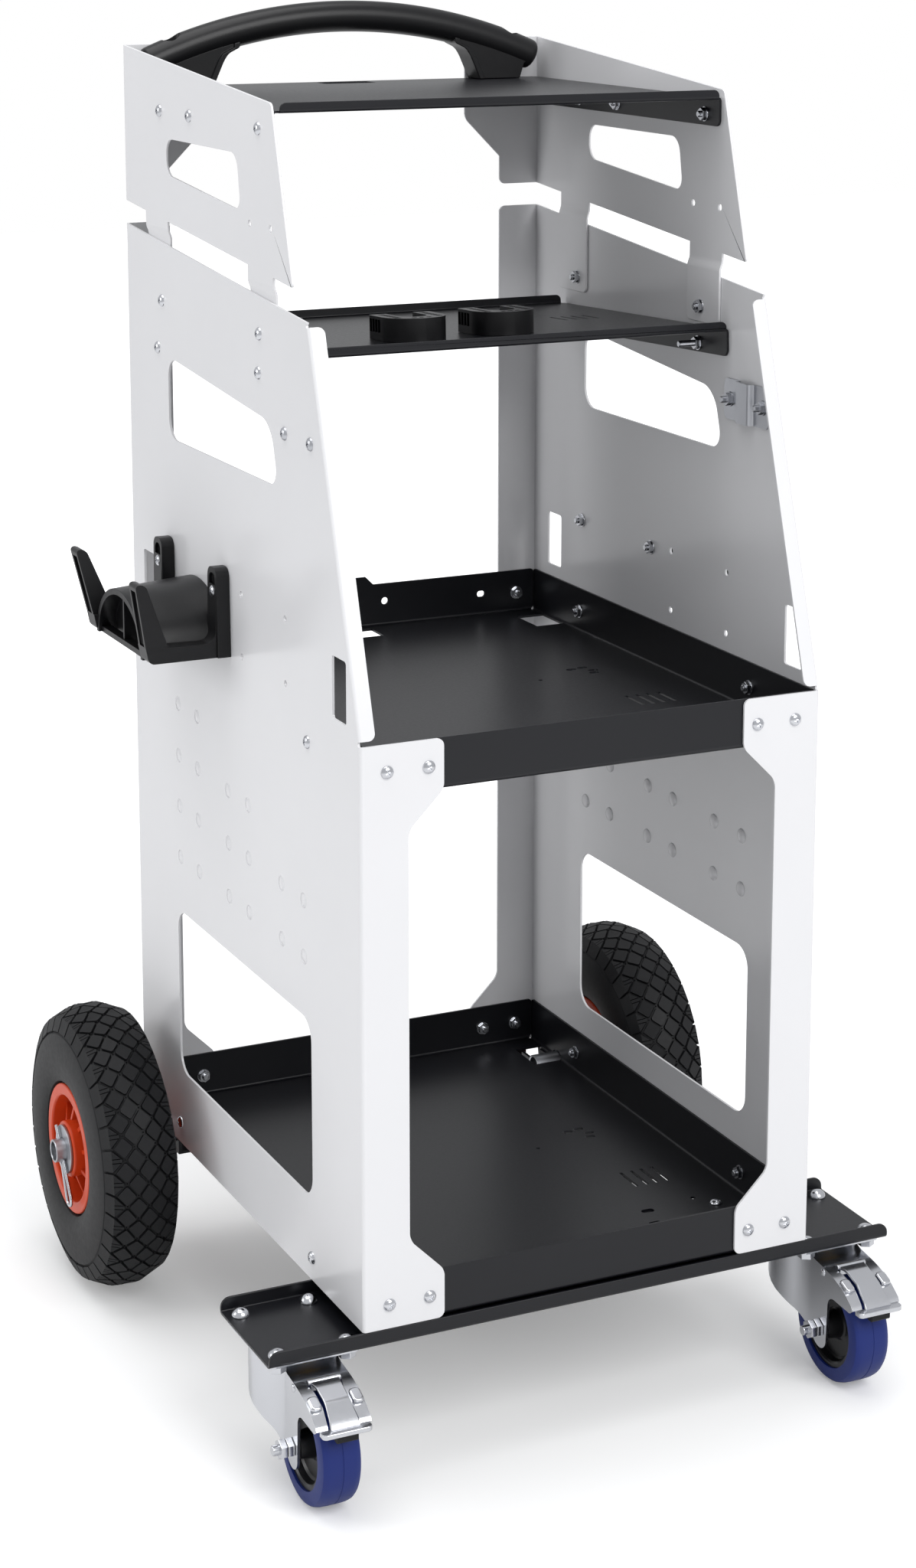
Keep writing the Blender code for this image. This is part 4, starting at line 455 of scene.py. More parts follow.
# Bolts of the sheet metal
# Zinc-plated M6 pan-head screws with a cross recess, each with a flange nut on the inside. The shelf's
# front pair are long stock screws whose threads stand well proud of their nuts.
zinc = surface("zinc plate", "zinc_plate", (0.62, 0.63, 0.66), 0.2, metal=1.0, grain=1800,
               relief=0.000012, drift=0.08)
TWO_SHEETS, NUT_HIGH, THREAD, PITCH = 0.0043, 0.0046, 0.0029, 0.001
TRAY_BOLTS, FLANGE_BOLTS = (0.154, 0.596), (0.1835, 0.148)
PAN = [(0, 0.0031), (0.0016, 0.003), (0.0033, 0.0026), (0.0046, 0.0018), (0.0053, 0.0008), (0.0055, 0.0),
       (0.003, 0.0), (0.003, -0.0012), (0, -0.0012)]


def spun(profile, sides, place=None):
    """Closed or axis-to-axis profile of (radius, height) turned once round Z."""
    work = bmesh.new()
    points = [work.verts.new((radius, 0, height)) for radius, height in profile]
    ends = zip(points, points[1:] + points[:1])
    edges = [work.edges.new(pair) for pair in ends if pair[0].co.x > 0 or pair[1].co.x > 0]
    bmesh.ops.spin(work, geom=points + edges, cent=(0, 0, 0), axis=UP, angle=2 * math.pi, steps=sides,
                   use_merge=True)
    return mesh_from(work, place)


def prism(sides, radius, low, high, chamfer):
    """Upright prism, its top and bottom rims chamfered."""
    work = bmesh.new()
    bmesh.ops.create_cone(work, cap_ends=True, segments=sides, radius1=radius, radius2=radius,
                          depth=high - low, matrix=shift(0, 0, (low + high) / 2))
    rims = [edge for edge in work.edges if abs(edge.verts[0].co.z - edge.verts[1].co.z) < 1e-6]
    bevelled(work, rims, chamfer, 2)
    return mesh_from(work)


def moved(mesh, place):
    """Copy of a mesh carried to a place."""
    made = mesh.copy()
    made.transform(place)
    return made


cross = [block(0, 0, 0.0023, 0.0005, Matrix.Rotation(turn, 4, "Z") @ shift(0, 0, 0.0036), depth=0.0036)
         for turn in (0.4, 0.4 + math.pi / 2)]
pan_head = cut(cut(spun(PAN, 28), cross[:1]), cross[1:])
nut = joined([prism(6, 0.0056, -NUT_HIGH, -0.0008, 0.0004), prism(24, 0.0064, -0.0009, 0.0, 0.0003)])


def bolt(point, outward, grip=TWO_SHEETS, spare=0.0025):
    """Screw head on a point, its nut a grip further in and the thread's end beyond it."""
    under = -grip - NUT_HIGH
    end = under - spare
    thread = [(0, -grip), (THREAD, -grip), (THREAD, end + 0.0006), (0.0022, end), (0, end)]
    for k in range(int(spare / PITCH) if spare > 0.01 else 0):
        low = under - PITCH * k
        thread[2 + 2 * k:2 + 2 * k] = [(THREAD, low), (0.0025, low - PITCH / 2)]
    made = joined([pan_head, moved(nut, shift(0, 0, -grip)), spun(thread, 16)])
    return moved(made, facing(point, outward))


for label, side in SIDES:
    face, out = side * PANEL_FACE, side * RIGHT
    bolts = [bolt((face, y, z), out) for y in (0.1065, 0.4228) for z in TRAY_BOLTS]
    bolts += [bolt((face, y, 0.9135), out) for y in (0.201, 0.433)]
    for along, spare in ((0.0539, 0.015), (0.2957, 0.0025)):
        spot = DECK_FRONT + DECK_ALONG * along - DECK_OUT * 0.0152
        bolts.append(bolt((face, spot.y, spot.z), out, spare=spare))
    bolts += [bolt((side * x, 0, z), -BACK) for x in FLANGE_BOLTS for z in TRAY_BOLTS]
    bolts.append(bolt((side * FLANGE_BOLTS[0], PANEL_DEPTH, TRAY_BOLTS[1]), BACK))
    piece(label + "_panel_bolts", joined(bolts), zinc, "cart", soften=0)
    bolts = [bolt((face, y, 1.0788), out) for y in (0.198, 0.357, 0.4305)]
    piece(label + "_shelf_bolts", joined(bolts), zinc, "cart", soften=0)

# Rear axles
# Galvanised stub tubes cradled in folded brackets that share the lower tray's back-wall bolts. A spacer,
# a washer and a spring-wire hairpin through the tube's end keep each wheel on.
galvanised = surface("galvanised steel", "zinc_plate", (0.5, 0.51, 0.54), 0.36, metal=1.0,
                     relief=0.00003, drift=0.2)
WHEEL_X, BRACKET_BACK = 0.2687, 0.5285
AXLE_TUBE = [(0.00865, -0.0922), (0.01065, -0.0922), (0.01065, 0.0474), (0.0101, 0.048), (0.0092, 0.048),
             (0.00865, 0.0474)]
AXLE_RINGS = (("_axle_tube", "_axle", AXLE_TUBE, 64, 0),
              ("_axle_spacer", "_spacer", rectangle(0.0108, -0.0619, 0.0152, -0.0363), 48, 0.0003),
              ("_axle_washer", "_washer", rectangle(0.0108, 0.0363, 0.0225, 0.0385), 64, 0.0004))
PIN_LEAN = math.radians(35)
PIN_DOWN = Vector((0, -math.sin(PIN_LEAN), -math.cos(PIN_LEAN)))
PIN_ASIDE = Vector((0, math.cos(PIN_LEAN), -math.sin(PIN_LEAN)))


def smoothed(name):
    """CAD node's mesh, welded and with its flat faces whole again, in the drawing's place."""
    work = opened(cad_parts[name].data)
    bmesh.ops.remove_doubles(work, verts=work.verts, dist=0.000005)
    bmesh.ops.dissolve_limit(work, angle_limit=0.02, verts=work.verts, edges=work.edges)
    return mesh_from(work, shift(0, -PANEL_FRONT, 0))


def closed(work):
    """Close the open rims of a bmesh."""
    bmesh.ops.holes_fill(work, edges=[edge for edge in work.edges if edge.is_boundary])


def wire(radius, place, moves, sides=18):
    """Round bar drawn along +X in the XY plane; a move is a run's length or a bend's (degrees, radius)."""
    work = bmesh.new()
    bmesh.ops.create_circle(work, segments=sides, radius=radius, matrix=Matrix.Rotation(math.pi / 2, 4, "Y"))
    rim, at, heading = work.edges[:], Vector(), 0.0
    for move in moves:
        if isinstance(move, tuple):
            bend = math.copysign(move[1], move[0])
            centre = at + bend * Vector((-math.sin(heading), math.cos(heading), 0))
            ends = list({point for edge in rim for point in edge.verts})
            made = bmesh.ops.spin(work, geom=rim + ends, cent=centre, axis=UP, angle=math.radians(move[0]),
                                  steps=int(abs(move[0]) * (0.16 + 2 * move[1])) + 3)["geom_last"]
            heading += math.radians(move[0])
            at = centre - bend * Vector((-math.sin(heading), math.cos(heading), 0))
        else:
            step = move * Vector((math.cos(heading), math.sin(heading), 0))
            made = bmesh.ops.extrude_edge_only(work, edges=rim)["geom"]
            bmesh.ops.translate(work, verts=points_of(made), vec=step)
            at += step
        fresh = set(points_of(made))
        rim = [item for item in made if isinstance(item, bmesh.types.BMEdge) and fresh.issuperset(item.verts)]
    closed(work)
    return mesh_from(work, place)


for label, side in SIDES:
    bolt_row = plane((0, 0, TRAY_BOLTS[0]), RIGHT * side, BACK)
    bolts_off = [punch(rectangle(0.135, near, 0.197, far), bolt_row, depth=0.024)
                 for near, far in ((0.5, 0.5252), (BRACKET_BACK, 0.545))]
    bracket = cut(smoothed(label + "_axle_bracket"), bolts_off)
    piece(label + "_folded_bracket", bracket, black_coat, "cart", label + "_axle_bracket", soften=0.0008)
    bolts = [bolt((side * x, BRACKET_BACK, TRAY_BOLTS[0]), BACK, 0.0078) for x in FLANGE_BOLTS]
    piece(label + "_bracket_bolts", joined(bolts), zinc, "cart", soften=0)
    centre = Vector((side * WHEEL_X, AXLE_Y, AXLE_Z))
    along = facing(centre, side * RIGHT)
    for name, node, profile, sides, soften in AXLE_RINGS:
        piece(label + name, spun(profile, sides, along), galvanised, "cart", label + node, soften=soften)
    start = centre + RIGHT * side * 0.0404 - PIN_DOWN * 0.0234
    hairpin = wire(0.0016, plane(start, PIN_DOWN, PIN_ASIDE),
                   [0.0681, (190.7, 0.006), 0.03033, (-62.7, 0.004), (100, 0.01255), 0.003])
    piece(label + "_hairpin_wire", hairpin, zinc, "cart", label + "_hairpin", soften=0.0003)

# Rear wheels
# A moulded orange-red rim with deep pockets between its ribs carries a pneumatic rubber tyre. The tread
# is cut into diamonds with small blocks where they meet, and siped shoulder lugs over a smooth sidewall.
rubber = surface("tyre rubber", "tyre_rubber", (0.0078, 0.008, 0.009), 0.52, grain=1400, relief=0.00003,
                 drift=0.15, shine=0.25)
rim_paint = surface("orange-red moulding", "orange_red_rim", (0.6, 0.054, 0.009), 0.34, grain=500,
                    drift=0.04, shine=0.28)
bush_plastic = surface("grey-black plastic", "black_plastic", (0.02, 0.02, 0.021), 0.45, relief=0.00002)
TREAD_PITCHES, GROOVE, TREAD_RISE, TREAD_DRAFT = 36, 0.0008, 0.0026, 0.0002
TREAD_BAND = [(0.1063, 0.0326), (0.1186, 0.0275), (0.1268, 0.0095)]
SIDEWALL = [(0.054, 0.029), (0.0605, 0.029), (0.0622, 0.0338), (0.066, 0.0356), (0.074, 0.0371),
            (0.085, 0.0375), (0.096, 0.0366), (0.1035, 0.0352), (0.1055, 0.0346), (0.1062, 0.0336),
            (0.109, 0.0318), (0.1172, 0.027), (0.1252, 0.0095)]
RIM = [(0.0526, 0.0292), (0.0575, 0.0296), (0.0598, 0.0312), (0.06, 0.0326), (0.059, 0.0338),
       (0.05, 0.0338), (0.0488, 0.0326), (0.0468, 0.006), (0.0455, 0.005), (0.0275, 0.005),
       (0.0265, 0.006), (0.0258, 0.0348), (0.0248, 0.036), (0.0155, 0.036)]
RIB = [(0.0255, 0.0045), (0.0475, 0.0045), (0.0485, 0.0215), (0.0255, 0.029)]


def both_sides(half):
    """Profile of a wheel from the half of it that lies on one side."""
    return half + [(radius, -height) for radius, height in reversed(half)]


def spoke(turn):
    """Direction at a turn round Z."""
    return Vector((math.cos(turn), math.sin(turn), 0))


def tread_blocks():
    """Tread band: a spun band poked into diamonds, their meeting points cut off, grooved apart and raised."""
    work = bmesh.new()
    points = [work.verts.new((radius, 0, height)) for radius, height in both_sides(TREAD_BAND)]
    edges = [work.edges.new(pair) for pair in zip(points, points[1:])]
    bmesh.ops.spin(work, geom=points + edges, cent=(0, 0, 0), axis=UP, angle=2 * math.pi,
                   steps=TREAD_PITCHES, use_merge=True)
    bmesh.ops.remove_doubles(work, verts=work.verts, dist=0.00001)
    bmesh.ops.recalc_face_normals(work, faces=work.faces)
    crown = [face for face in work.faces if abs(face.calc_center_median().z) < 0.025]
    seams = {edge for face in crown for edge in face.edges}
    bmesh.ops.poke(work, faces=crown)
    inner = [edge for edge in seams if edge.is_valid and abs(edge.verts[0].co.z + edge.verts[1].co.z) < 0.05]
    bmesh.ops.dissolve_edges(work, edges=inner, use_verts=False)
    bevelled(work, [point for point in work.verts if abs(point.co.z) < 0.025], 0.0019, 1, "VERTICES")
    blocks = [face for face in work.faces if max(abs(point.co.z) for point in face.verts) < 0.0274]
    blocks += [face for face in work.faces if len(face.verts) > 4 and face not in blocks]
    shoulders = [edge for edge in work.edges if all(0.027 < abs(point.co.z) < 0.028 for point in edge.verts)]
    pairs = [list(edge.link_faces) for edge in shoulders]
    bmesh.ops.inset_individual(work, faces=blocks, thickness=GROOVE, depth=0.0, use_even_offset=True)
    for width, height in ((GROOVE, 0.0), (TREAD_DRAFT, TREAD_RISE)):
        for pair in pairs:
            bmesh.ops.inset_region(work, faces=pair, thickness=width, depth=height, use_boundary=True,
                                   use_even_offset=True)
    bmesh.ops.inset_individual(work, faces=blocks, thickness=TREAD_DRAFT, depth=TREAD_RISE,
                               use_even_offset=True)
    bmesh.ops.bridge_loops(work, edges=[edge for edge in work.edges if edge.is_boundary])
    sipes = []
    for k in range(2 * TREAD_PITCHES):
        radial = spoke(2 * math.pi * (k // 2 + 0.5) / TREAD_PITCHES + (k % 2 - 0.5) * 0.03)
        for face in (-1, 1):
            sipes.append(punch(rectangle(-0.0004, 0.0225, 0.0004, 0.03),
                               plane(radial * 0.122, UP.cross(radial), UP * face), depth=0.009))
    return cut(mesh_from(work), sipes)


tyre = joined([spun(both_sides(SIDEWALL), 96), tread_blocks()])
shell = [spun(both_sides(RIM), 96)]
for k in range(8):
    radial = spoke(math.pi * k / 4 + 0.2)
    shell += [punch(RIB, plane((0, 0, 0), radial, UP * face), depth=0.0042) for face in (-1, 1)]
rim = joined(shell)
for label, side in SIDES:
    wheel = label + "_wheel"
    along = facing((side * WHEEL_X, AXLE_Y, AXLE_Z), side * RIGHT)
    piece(label + "_air_tyre", moved(tyre, along), rubber, wheel, wheel + "_tyre", soften=0)
    piece(label + "_moulded_rim", moved(rim, along), rim_paint, wheel, wheel + "_rim", soften=0.0006)
    bush = spun(rectangle(0.0108, -0.036, 0.0149, 0.036), 48, along)
    piece(label + "_hub_bush", bush, bush_plastic, wheel, wheel + "_bush", soften=0.0003)

# Castors
# Pressed and zinc-plated swivel castors: a top plate and ball race under the base trough, a hooded fork,
# a blue elastic tread on a dished black hub, and a brake pedal that tips on a pin through the fork.
passivated = surface("yellow passivate", "yellow_passivated", (0.55, 0.36, 0.11), 0.3, metal=1.0, drift=0.2)
blue = surface("blue elastic tread", "blue_tread", (0.008, 0.021, 0.15), 0.42, drift=0.08, shine=0.3)
hub_plastic = surface("black hub plastic", "black_plastic", (0.008, 0.008, 0.009), 0.3, shine=0.4)
CASTOR_X, CASTOR_Y, CASTOR_AXLE = 0.245, 0.0545, (0.001, 0.05)
PLATE_LOW, PLATE_HALF = 0.1161, (0.0405, 0.048)
FORK_TOP, FORK_SHEET, PEDAL_PIN = 0.1118, 0.0025, (-0.0575, 0.1022)
RACE = [(0.012, 0.1122), (0.0325, 0.1122), (0.0338, 0.1132), (0.0338, 0.1147), (0.0325, 0.1157),
        (0.012, 0.1157)]
HOOD = [(-0.103, 0.09), (-0.0895, 0.0992), (-0.0715, 0.1048), (-0.0535, 0.1074), (-0.0425, 0.1086),
        (-0.0345, FORK_TOP)]
LEGS = [(0.039, FORK_TOP), (0.039, 0.083), (-0.0175, 0.058), (-0.0495, 0.032), (-0.058, 0.0315),
        (-0.064, 0.037), (-0.066, 0.079), (-0.0715, 0.0845), (-0.101, 0.083), (-0.105, 0.0865)]
FORK_ROUNDS = {1: 0.016, 2: 0.016, 3: 0.004, 4: 0.0038, 5: 0.0038, 6: 0.0036, 7: 0.0038, 8: 0.002,
               11: 0.007, 12: 0.008, 13: 0.005, 14: 0.0045, 15: 0.004}
PEDAL_SLOT = [(0.0145, -0.059), (0.0145, -0.066), (0.0124, -0.074), (0.012, -0.09),
              (0.0134, -0.102), (0.014, -0.125)]
TONGUE = [(-0.0615, 0.1074, 0.013), (-0.0735, 0.1072, 0.0108), (-0.09, 0.102, 0.0104),
          (-0.103, 0.0926, 0.0118), (-0.1085, 0.0868, 0.0126)]
BAND = [(0.0365, 0.0168), (0.038, 0.0172), (0.044, 0.017), (0.0472, 0.016), (0.0488, 0.014),
        (0.0497, 0.0105), (0.05, 0.005), (0.05, 0.0006), (0.0496, 0.0003)]
DISH = [(0.0043, 0.0205), (0.0095, 0.0205), (0.0105, 0.0195), (0.0125, 0.0065), (0.0145, 0.0055),
        (0.028, 0.0068), (0.03, 0.0085), (0.0315, 0.0135), (0.033, 0.0148), (0.0362, 0.0148),
        (0.0365, 0.014)]


def fork_plan(inset):
    """Fork seen from above, as an upright block: straight legs that widen into a round crown."""
    half, crown = 0.0235 - inset, 0.037 - inset
    corners = [(-half, -0.116), (half, -0.116), (half, -0.03), (crown - 0.0011, -0.009), (crown, crown),
               (-crown, crown), (0.0011 - crown, -0.009), (-half, -0.03)]
    rounds = {2: 0.01, 3: 0.01, 4: crown - 0.0005, 5: crown - 0.0005, 6: 0.01, 7: 0.01}
    return punch(corners, shift(0, 0, 0.075), rounds, 0.12)


def fork_side(corners, rounds=None):
    """Fork seen from the side, as a block across it."""
    return punch(corners, plane((0, 0, 0), BACK, UP), rounds, 0.12)


def fork_mesh():
    """Fork pressed from one sheet: plan and side view cut from a block, folds rounded, then hollowed."""
    work = opened(cut(fork_plan(0), [fork_side(LEGS + HOOD, FORK_ROUNDS)], "INTERSECT"))
    folds = [edge for edge in work.edges if len(edge.link_faces) == 2 and edge.verts[0].co.z > 0.086
             and sorted(face.normal.z > 0.3 for face in edge.link_faces) == [False, True]
             and min(abs(face.normal.z) for face in edge.link_faces) < 0.2]
    bevelled(work, folds, 0.0026, 4, clamp_overlap=True)
    roof = [(y, z - FORK_SHEET) for y, z in reversed(HOOD)]
    under = [(-0.13, 0.0), (0.06, 0.0), (0.06, FORK_TOP - FORK_SHEET)] + roof + [(-0.13, 0.07)]
    void = cut(fork_plan(FORK_SHEET), [fork_side(under)], "INTERSECT")
    slot = PEDAL_SLOT + [(-x, y) for x, y in reversed(PEDAL_SLOT)]
    return cut(cut(mesh_from(work), [void]), [punch(slot, shift(0, 0, 0.1), depth=0.06)])


def upper_half(work):
    """Cut off what lies below z = 0 in a bmesh and close it."""
    bmesh.ops.bisect_plane(work, geom=work.verts[:] + work.edges[:] + work.faces[:], plane_co=(0, 0, 0),
                           plane_no=UP, clear_inner=True)
    closed(work)


def dome(radius, height, place):
    """Round rivet or screw head on a point."""
    work = ball((radius, radius, height), 28)
    upper_half(work)
    return mesh_from(work, place)


def pedal_mesh():
    """Tongue bent from sheet, waisted in the middle, with its top bar, broad foot lip and pin."""
    strips = []
    for (y0, z0, wide0), (y1, z1, wide1) in zip(TONGUE, TONGUE[1:]):
        run = Vector((0, y1 - y0, z1 - z0))
        strips.append(flat([(-wide0, 0), (wide0, 0), (wide1, run.length), (-wide1, run.length)],
                           plane((0, y0, z0), RIGHT, run.normalized())))
    bar = wire(0.0027, plane((-0.014, -0.064, 0.1072), RIGHT, BACK), [0.028])
    pin = wire(0.0021, plane((-0.0206, *PEDAL_PIN), RIGHT, BACK), [0.0412])
    lip = punch(rectangle(-0.0212, -0.1145, 0.0212, -0.1055), shift(0, 0, 0.0852),
                {0: 0.004, 1: 0.004}, 0.0042)
    web = punch(rectangle(-0.0665, 0.1004, -0.0622, 0.106), plane((0, 0, 0), BACK, UP), depth=0.024)
    return joined([folded(strips, FORK_SHEET, 0.003), bar, pin, lip, web])


plate_parts = [block(0, 0, *PLATE_HALF, shift(0, 0, PLATE_LOW + 0.0018), 0.007, 0.0036)]
plate_nut = prism(6, 0.0077, -0.0058, 0.0, 0.0006)
for x, y in [(sx * 0.03, sy * 0.04) for sx in (-1, 1) for sy in (-1, 1)]:
    plate_parts.append(dome(0.0078, 0.0066, shift(x, y, BASE_LEVEL + BASE_SHEET / 2)))
    plate_parts.append(moved(plate_nut, shift(x, y, PLATE_LOW)))
fork_parts = [fork_mesh()]
for sx in (-1, 1):
    fork_parts.append(dome(0.0034, 0.0016, facing((sx * 0.0234, *PEDAL_PIN), RIGHT * sx)))
    cheek = shift(sx * 0.0178, -0.087, 0.1) @ Matrix.Rotation(math.radians(21), 4, "X")
    bump = block(0, 0, 0.0048, 0.0072, cheek, 0.0035, 0.0064)
    fork_parts.append(modified(bump, "BEVEL", width=0.002, segments=4, limit_method="ANGLE"))
screw_parts = [prism(6, 0.0084, low, high, 0.0006)
               for low, high in ((0.0238, 0.029), (-0.0293, -0.0238), (-0.0352, -0.0297))]
screw_parts.append(prism(24, 0.0042, -0.0408, 0.024, 0.0007))
plate, fork, screw, pedal = joined(plate_parts), joined(fork_parts), joined(screw_parts), pedal_mesh()
for label, side in SIDES:
    name, tipping = label + "_castor", label + "_brake_pedal"
    swivel, wheel = name + "_swivel", name + "_wheel"
    here = shift(side * CASTOR_X, CASTOR_Y, 0)
    along = facing((side * CASTOR_X, *CASTOR_AXLE), RIGHT)
    piece(name + "_top_plate", moved(plate, here), zinc, "cart", name + "_plate")
    piece(name + "_ball_race", spun(RACE, 64, here), passivated, "cart", name + "_race", soften=0)
    piece(name + "_pressed_fork", moved(fork, here), zinc, swivel, name + "_fork", soften=0.0006)
    piece(name + "_axle_screw", moved(screw, along), zinc, swivel, name + "_axle_bolt", soften=0)
    belt = spun(both_sides(BAND), 96, along)
    piece(name + "_elastic_band", belt, blue, wheel, name + "_tread", soften=0)
    hub = spun(both_sides(DISH), 96, along)
    piece(name + "_dished_hub", hub, hub_plastic, wheel, name + "_hub", soften=0)
    piece(name + "_foot_pedal", moved(pedal, here), zinc, tipping, name + "_pedal", soften=0.0006)
    piece(name + "_brake_pad", smoothed(name + "_pad"), rubber, tipping, name + "_pad", soften=0.0005)

# Cable hooks
# Black glass-filled nylon mouldings on the lower panels' outsides: two ears take the bolts, an arched
# saddle carries the coiled cable and two horns keep it from sliding off.
plastic = surface("black moulded plastic", "black_plastic", (0.0062, 0.0062, 0.007), 0.33, grain=1100,
                  relief=0.00003, shine=0.3)
HOOK_SILL, HOOK_Y, HOOK_SPREAD, HOOK_BOLT = 0.628, 0.355, 0.068, 0.684
SPLAY, SPLAY_FROM = 0.17, 0.638
HOOK_WALL = [(0.2068, HOOK_SILL), (0.279, HOOK_SILL), (0.282, 0.643), (0.257, 0.641), (0.2195, 0.641),
             (0.2185, 0.69), (0.2068, 0.69)]
HORN = [(0.2585, 0.633), (0.28, 0.633), (0.2935, 0.7), (0.284, 0.699)]
HORN_PIT = [(0.28, 0.641), (0.3, 0.641), (0.308, 0.693), (0.288, 0.693)]


def hook_mesh(side):
    """Arched saddle with a recess and a rib, between two walls that each carry an ear and a splayed horn."""
    across = RIGHT * side
    work = bmesh.new()
    bmesh.ops.create_cone(work, cap_ends=True, segments=72, radius1=1.0, radius2=0.9, depth=0.072,
                          matrix=facing((0, 0, 0), across))
    bmesh.ops.scale(work, verts=work.verts, vec=(1, 0.067, 0.054))
    barrel = mesh_from(work)
    recess = moved(barrel, shift(side * 0.056, 0, 0) @ Matrix.Diagonal((1, 0.84, 0.82, 1)))
    work = opened(cut(barrel, [recess]))
    upper_half(work)
    saddle = mesh_from(work, shift(side * 0.2428, HOOK_Y, HOOK_SILL))
    middle = plane((0, HOOK_Y, 0), across, UP)
    chord = punch(rectangle(0.267, HOOK_SILL, 0.276, HOOK_SILL + 0.005), middle, depth=0.12)
    rib = punch(rectangle(0.256, HOOK_SILL, 0.2745, 0.671), middle, depth=0.003)
    made = [saddle, chord, rib]
    for sy in (-1, 1):
        y = HOOK_Y + sy * HOOK_SPREAD
        upright = plane((0, y, 0), across, UP)
        made.append(punch(HOOK_WALL, upright, {1: 0.005, 4: 0.01}, 0.02))
        horn = punch(HORN, upright, {2: 0.0045, 3: 0.0045}, 0.018)
        horn = cut(horn, [punch(HORN_PIT, upright, 0.002, 0.011)])
        splay = Matrix.Identity(4)
        splay[1][2] = sy * SPLAY
        made.append(moved(horn, shift(0, 0, SPLAY_FROM) @ splay @ shift(0, 0, -SPLAY_FROM)))
        ear = [(y - 0.0125, HOOK_SILL), (y + 0.0125, HOOK_SILL), (y + 0.0105, 0.705), (y - 0.0105, 0.705)]
        ear = punch(ear, plane((side * 0.21265, 0, 0), BACK, UP), {2: 0.008, 3: 0.008}, 0.0117)
        pocket = block(y, HOOK_BOLT, 0.0068, 0.016, plane((side * 0.2185, 0, 0), BACK, UP), 0.006, 0.006)
        made.append(cut(ear, [pocket]))
    return joined(made)


for label, side in SIDES:
    piece(label + "_hook_moulding", hook_mesh(side), plastic, "cart", label + "_cable_hook", soften=0.0018)
    bolts = [bolt((side * 0.2172, HOOK_Y + sy * HOOK_SPREAD, HOOK_BOLT), side * RIGHT, 0.013)
             for sy in (-1, 1)]
    piece(label + "_hook_bolts", joined(bolts), zinc, "cart", soften=0)

# Corner straps and tray screws
# Bare pressed straps with a raised middle, bolted inside the panels' slanted front corners with flange
# nuts; and the zinc-plated screws and sleeves that tie the lower tray down on the base trough.
STRAP_INSIDE, STRAP_LEVEL, STRAP_HALF = 0.20345, 0.84, 0.0175
STRAP = [(0.084, 0.0), (0.109, 0.0), (0.111, 0.005), (0.131, 0.005), (0.133, 0.0), (0.158, 0.0)]
STRAP_ENDS = {0: {0: 0.006, 3: 0.006}, 4: {1: 0.006, 2: 0.006}}
for label, side in SIDES:
    line = [Vector((side * (STRAP_INSIDE - deep), y, STRAP_LEVEL)) for y, deep in STRAP]
    strips = []
    for number, (start, end) in enumerate(zip(line, line[1:])):
        run = end - start
        strips.append(flat(rectangle(0, -STRAP_HALF, run.length, STRAP_HALF),
                           plane(start, run.normalized(), UP), STRAP_ENDS.get(number)))
    parts = [folded(strips, 0.0015, 0.0016)]
    parts += [bolt((side * PANEL_FACE, y, STRAP_LEVEL), side * RIGHT, 0.0038, 0.0045) for y in (0.094, 0.148)]
    piece(label + "_strap", joined(parts), galvanised, "cart", label + "_clip_plate", soften=0)
    x, y = side * TRAY_SCREW_X, TRAY_SCREW_Y
    tray_bolt = bolt((x, y, 0.1363), UP, 0.0166)
    piece(label + "_tray_bolt", tray_bolt, zinc, "cart", label + "_tray_screw", soften=0)
    sleeve = spun(rectangle(0.0033, 0.1228, 0.006, 0.1337), 32, shift(x, y, 0))
    piece(label + "_tray_tube", sleeve, zinc, "cart", label + "_tray_sleeve", soften=0.0003)

# Rests
# Two U-shaped rests moulded in black plastic and glued on the middle shelf, open to the back. Their tops
# are waffled and their flanks cored out between thin ribs.
WAFFLE = 0.0058
rest_middle, rest_flank, rest_top = shift(0, 0, 0.0113), shift(0, 0, 0.0133), shift(0, 0, 0.0213)
rest_body = punch(rectangle(-0.028, 0.0, 0.028, 0.055), rest_middle,
                  {0: 0.0275, 1: 0.0275, 2: 0.002, 3: 0.002}, 0.02)
rest_slot = punch(rectangle(-0.0125, 0.0165, 0.0125, 0.08), rest_middle, {0: 0.0122, 1: 0.0122}, 0.04)
pits = []
for sx in (-1, 1):
    pits += [block(sx * 0.0265, 0.0333 + WAFFLE * k, 0.0045, 0.0023, rest_flank, 0.0006, 0.011)
             for k in range(4)]
    pits += [block(sx * 0.0188, 0.014 + WAFFLE * k, 0.003, 0.002, rest_top, 0.0008, 0.0022)
             for k in range(7)]
pits += [block(0.0066 * k, 0.0088, 0.0022, 0.002, rest_top, 0.0008, 0.0022) for k in (-1, 0, 1)]
rest = cut(cut(rest_body, [rest_slot]), pits)
for label, x, front in (("left", -0.058, 0.05), ("right", 0.028, 0.058)):
    placed = moved(rest, middle_deck @ shift(x, front, 0))
    piece(label + "_shelf_rest", placed, plastic, "cart", label + "_rest", soften=0.0007)

# Handle
# An arched grip of black plastic on two moulded feet, each held down on the top shelf by a screw in a
# spot face near the grip's end.
ARCH, ARCH_TOP, GRIP_HALF, GRIP_RADIUS = 0.4815, 1.154, 0.191, 0.014
GRIP_Y, DECK_TOP, HANDLE_SCREW, FOOT_HALF = 0.508, 1.0943, 0.167, 0.0135


def grip_height(x):
    """Height of the grip's centre line."""
    return ARCH_TOP - ARCH + math.sqrt(ARCH ** 2 - x ** 2)


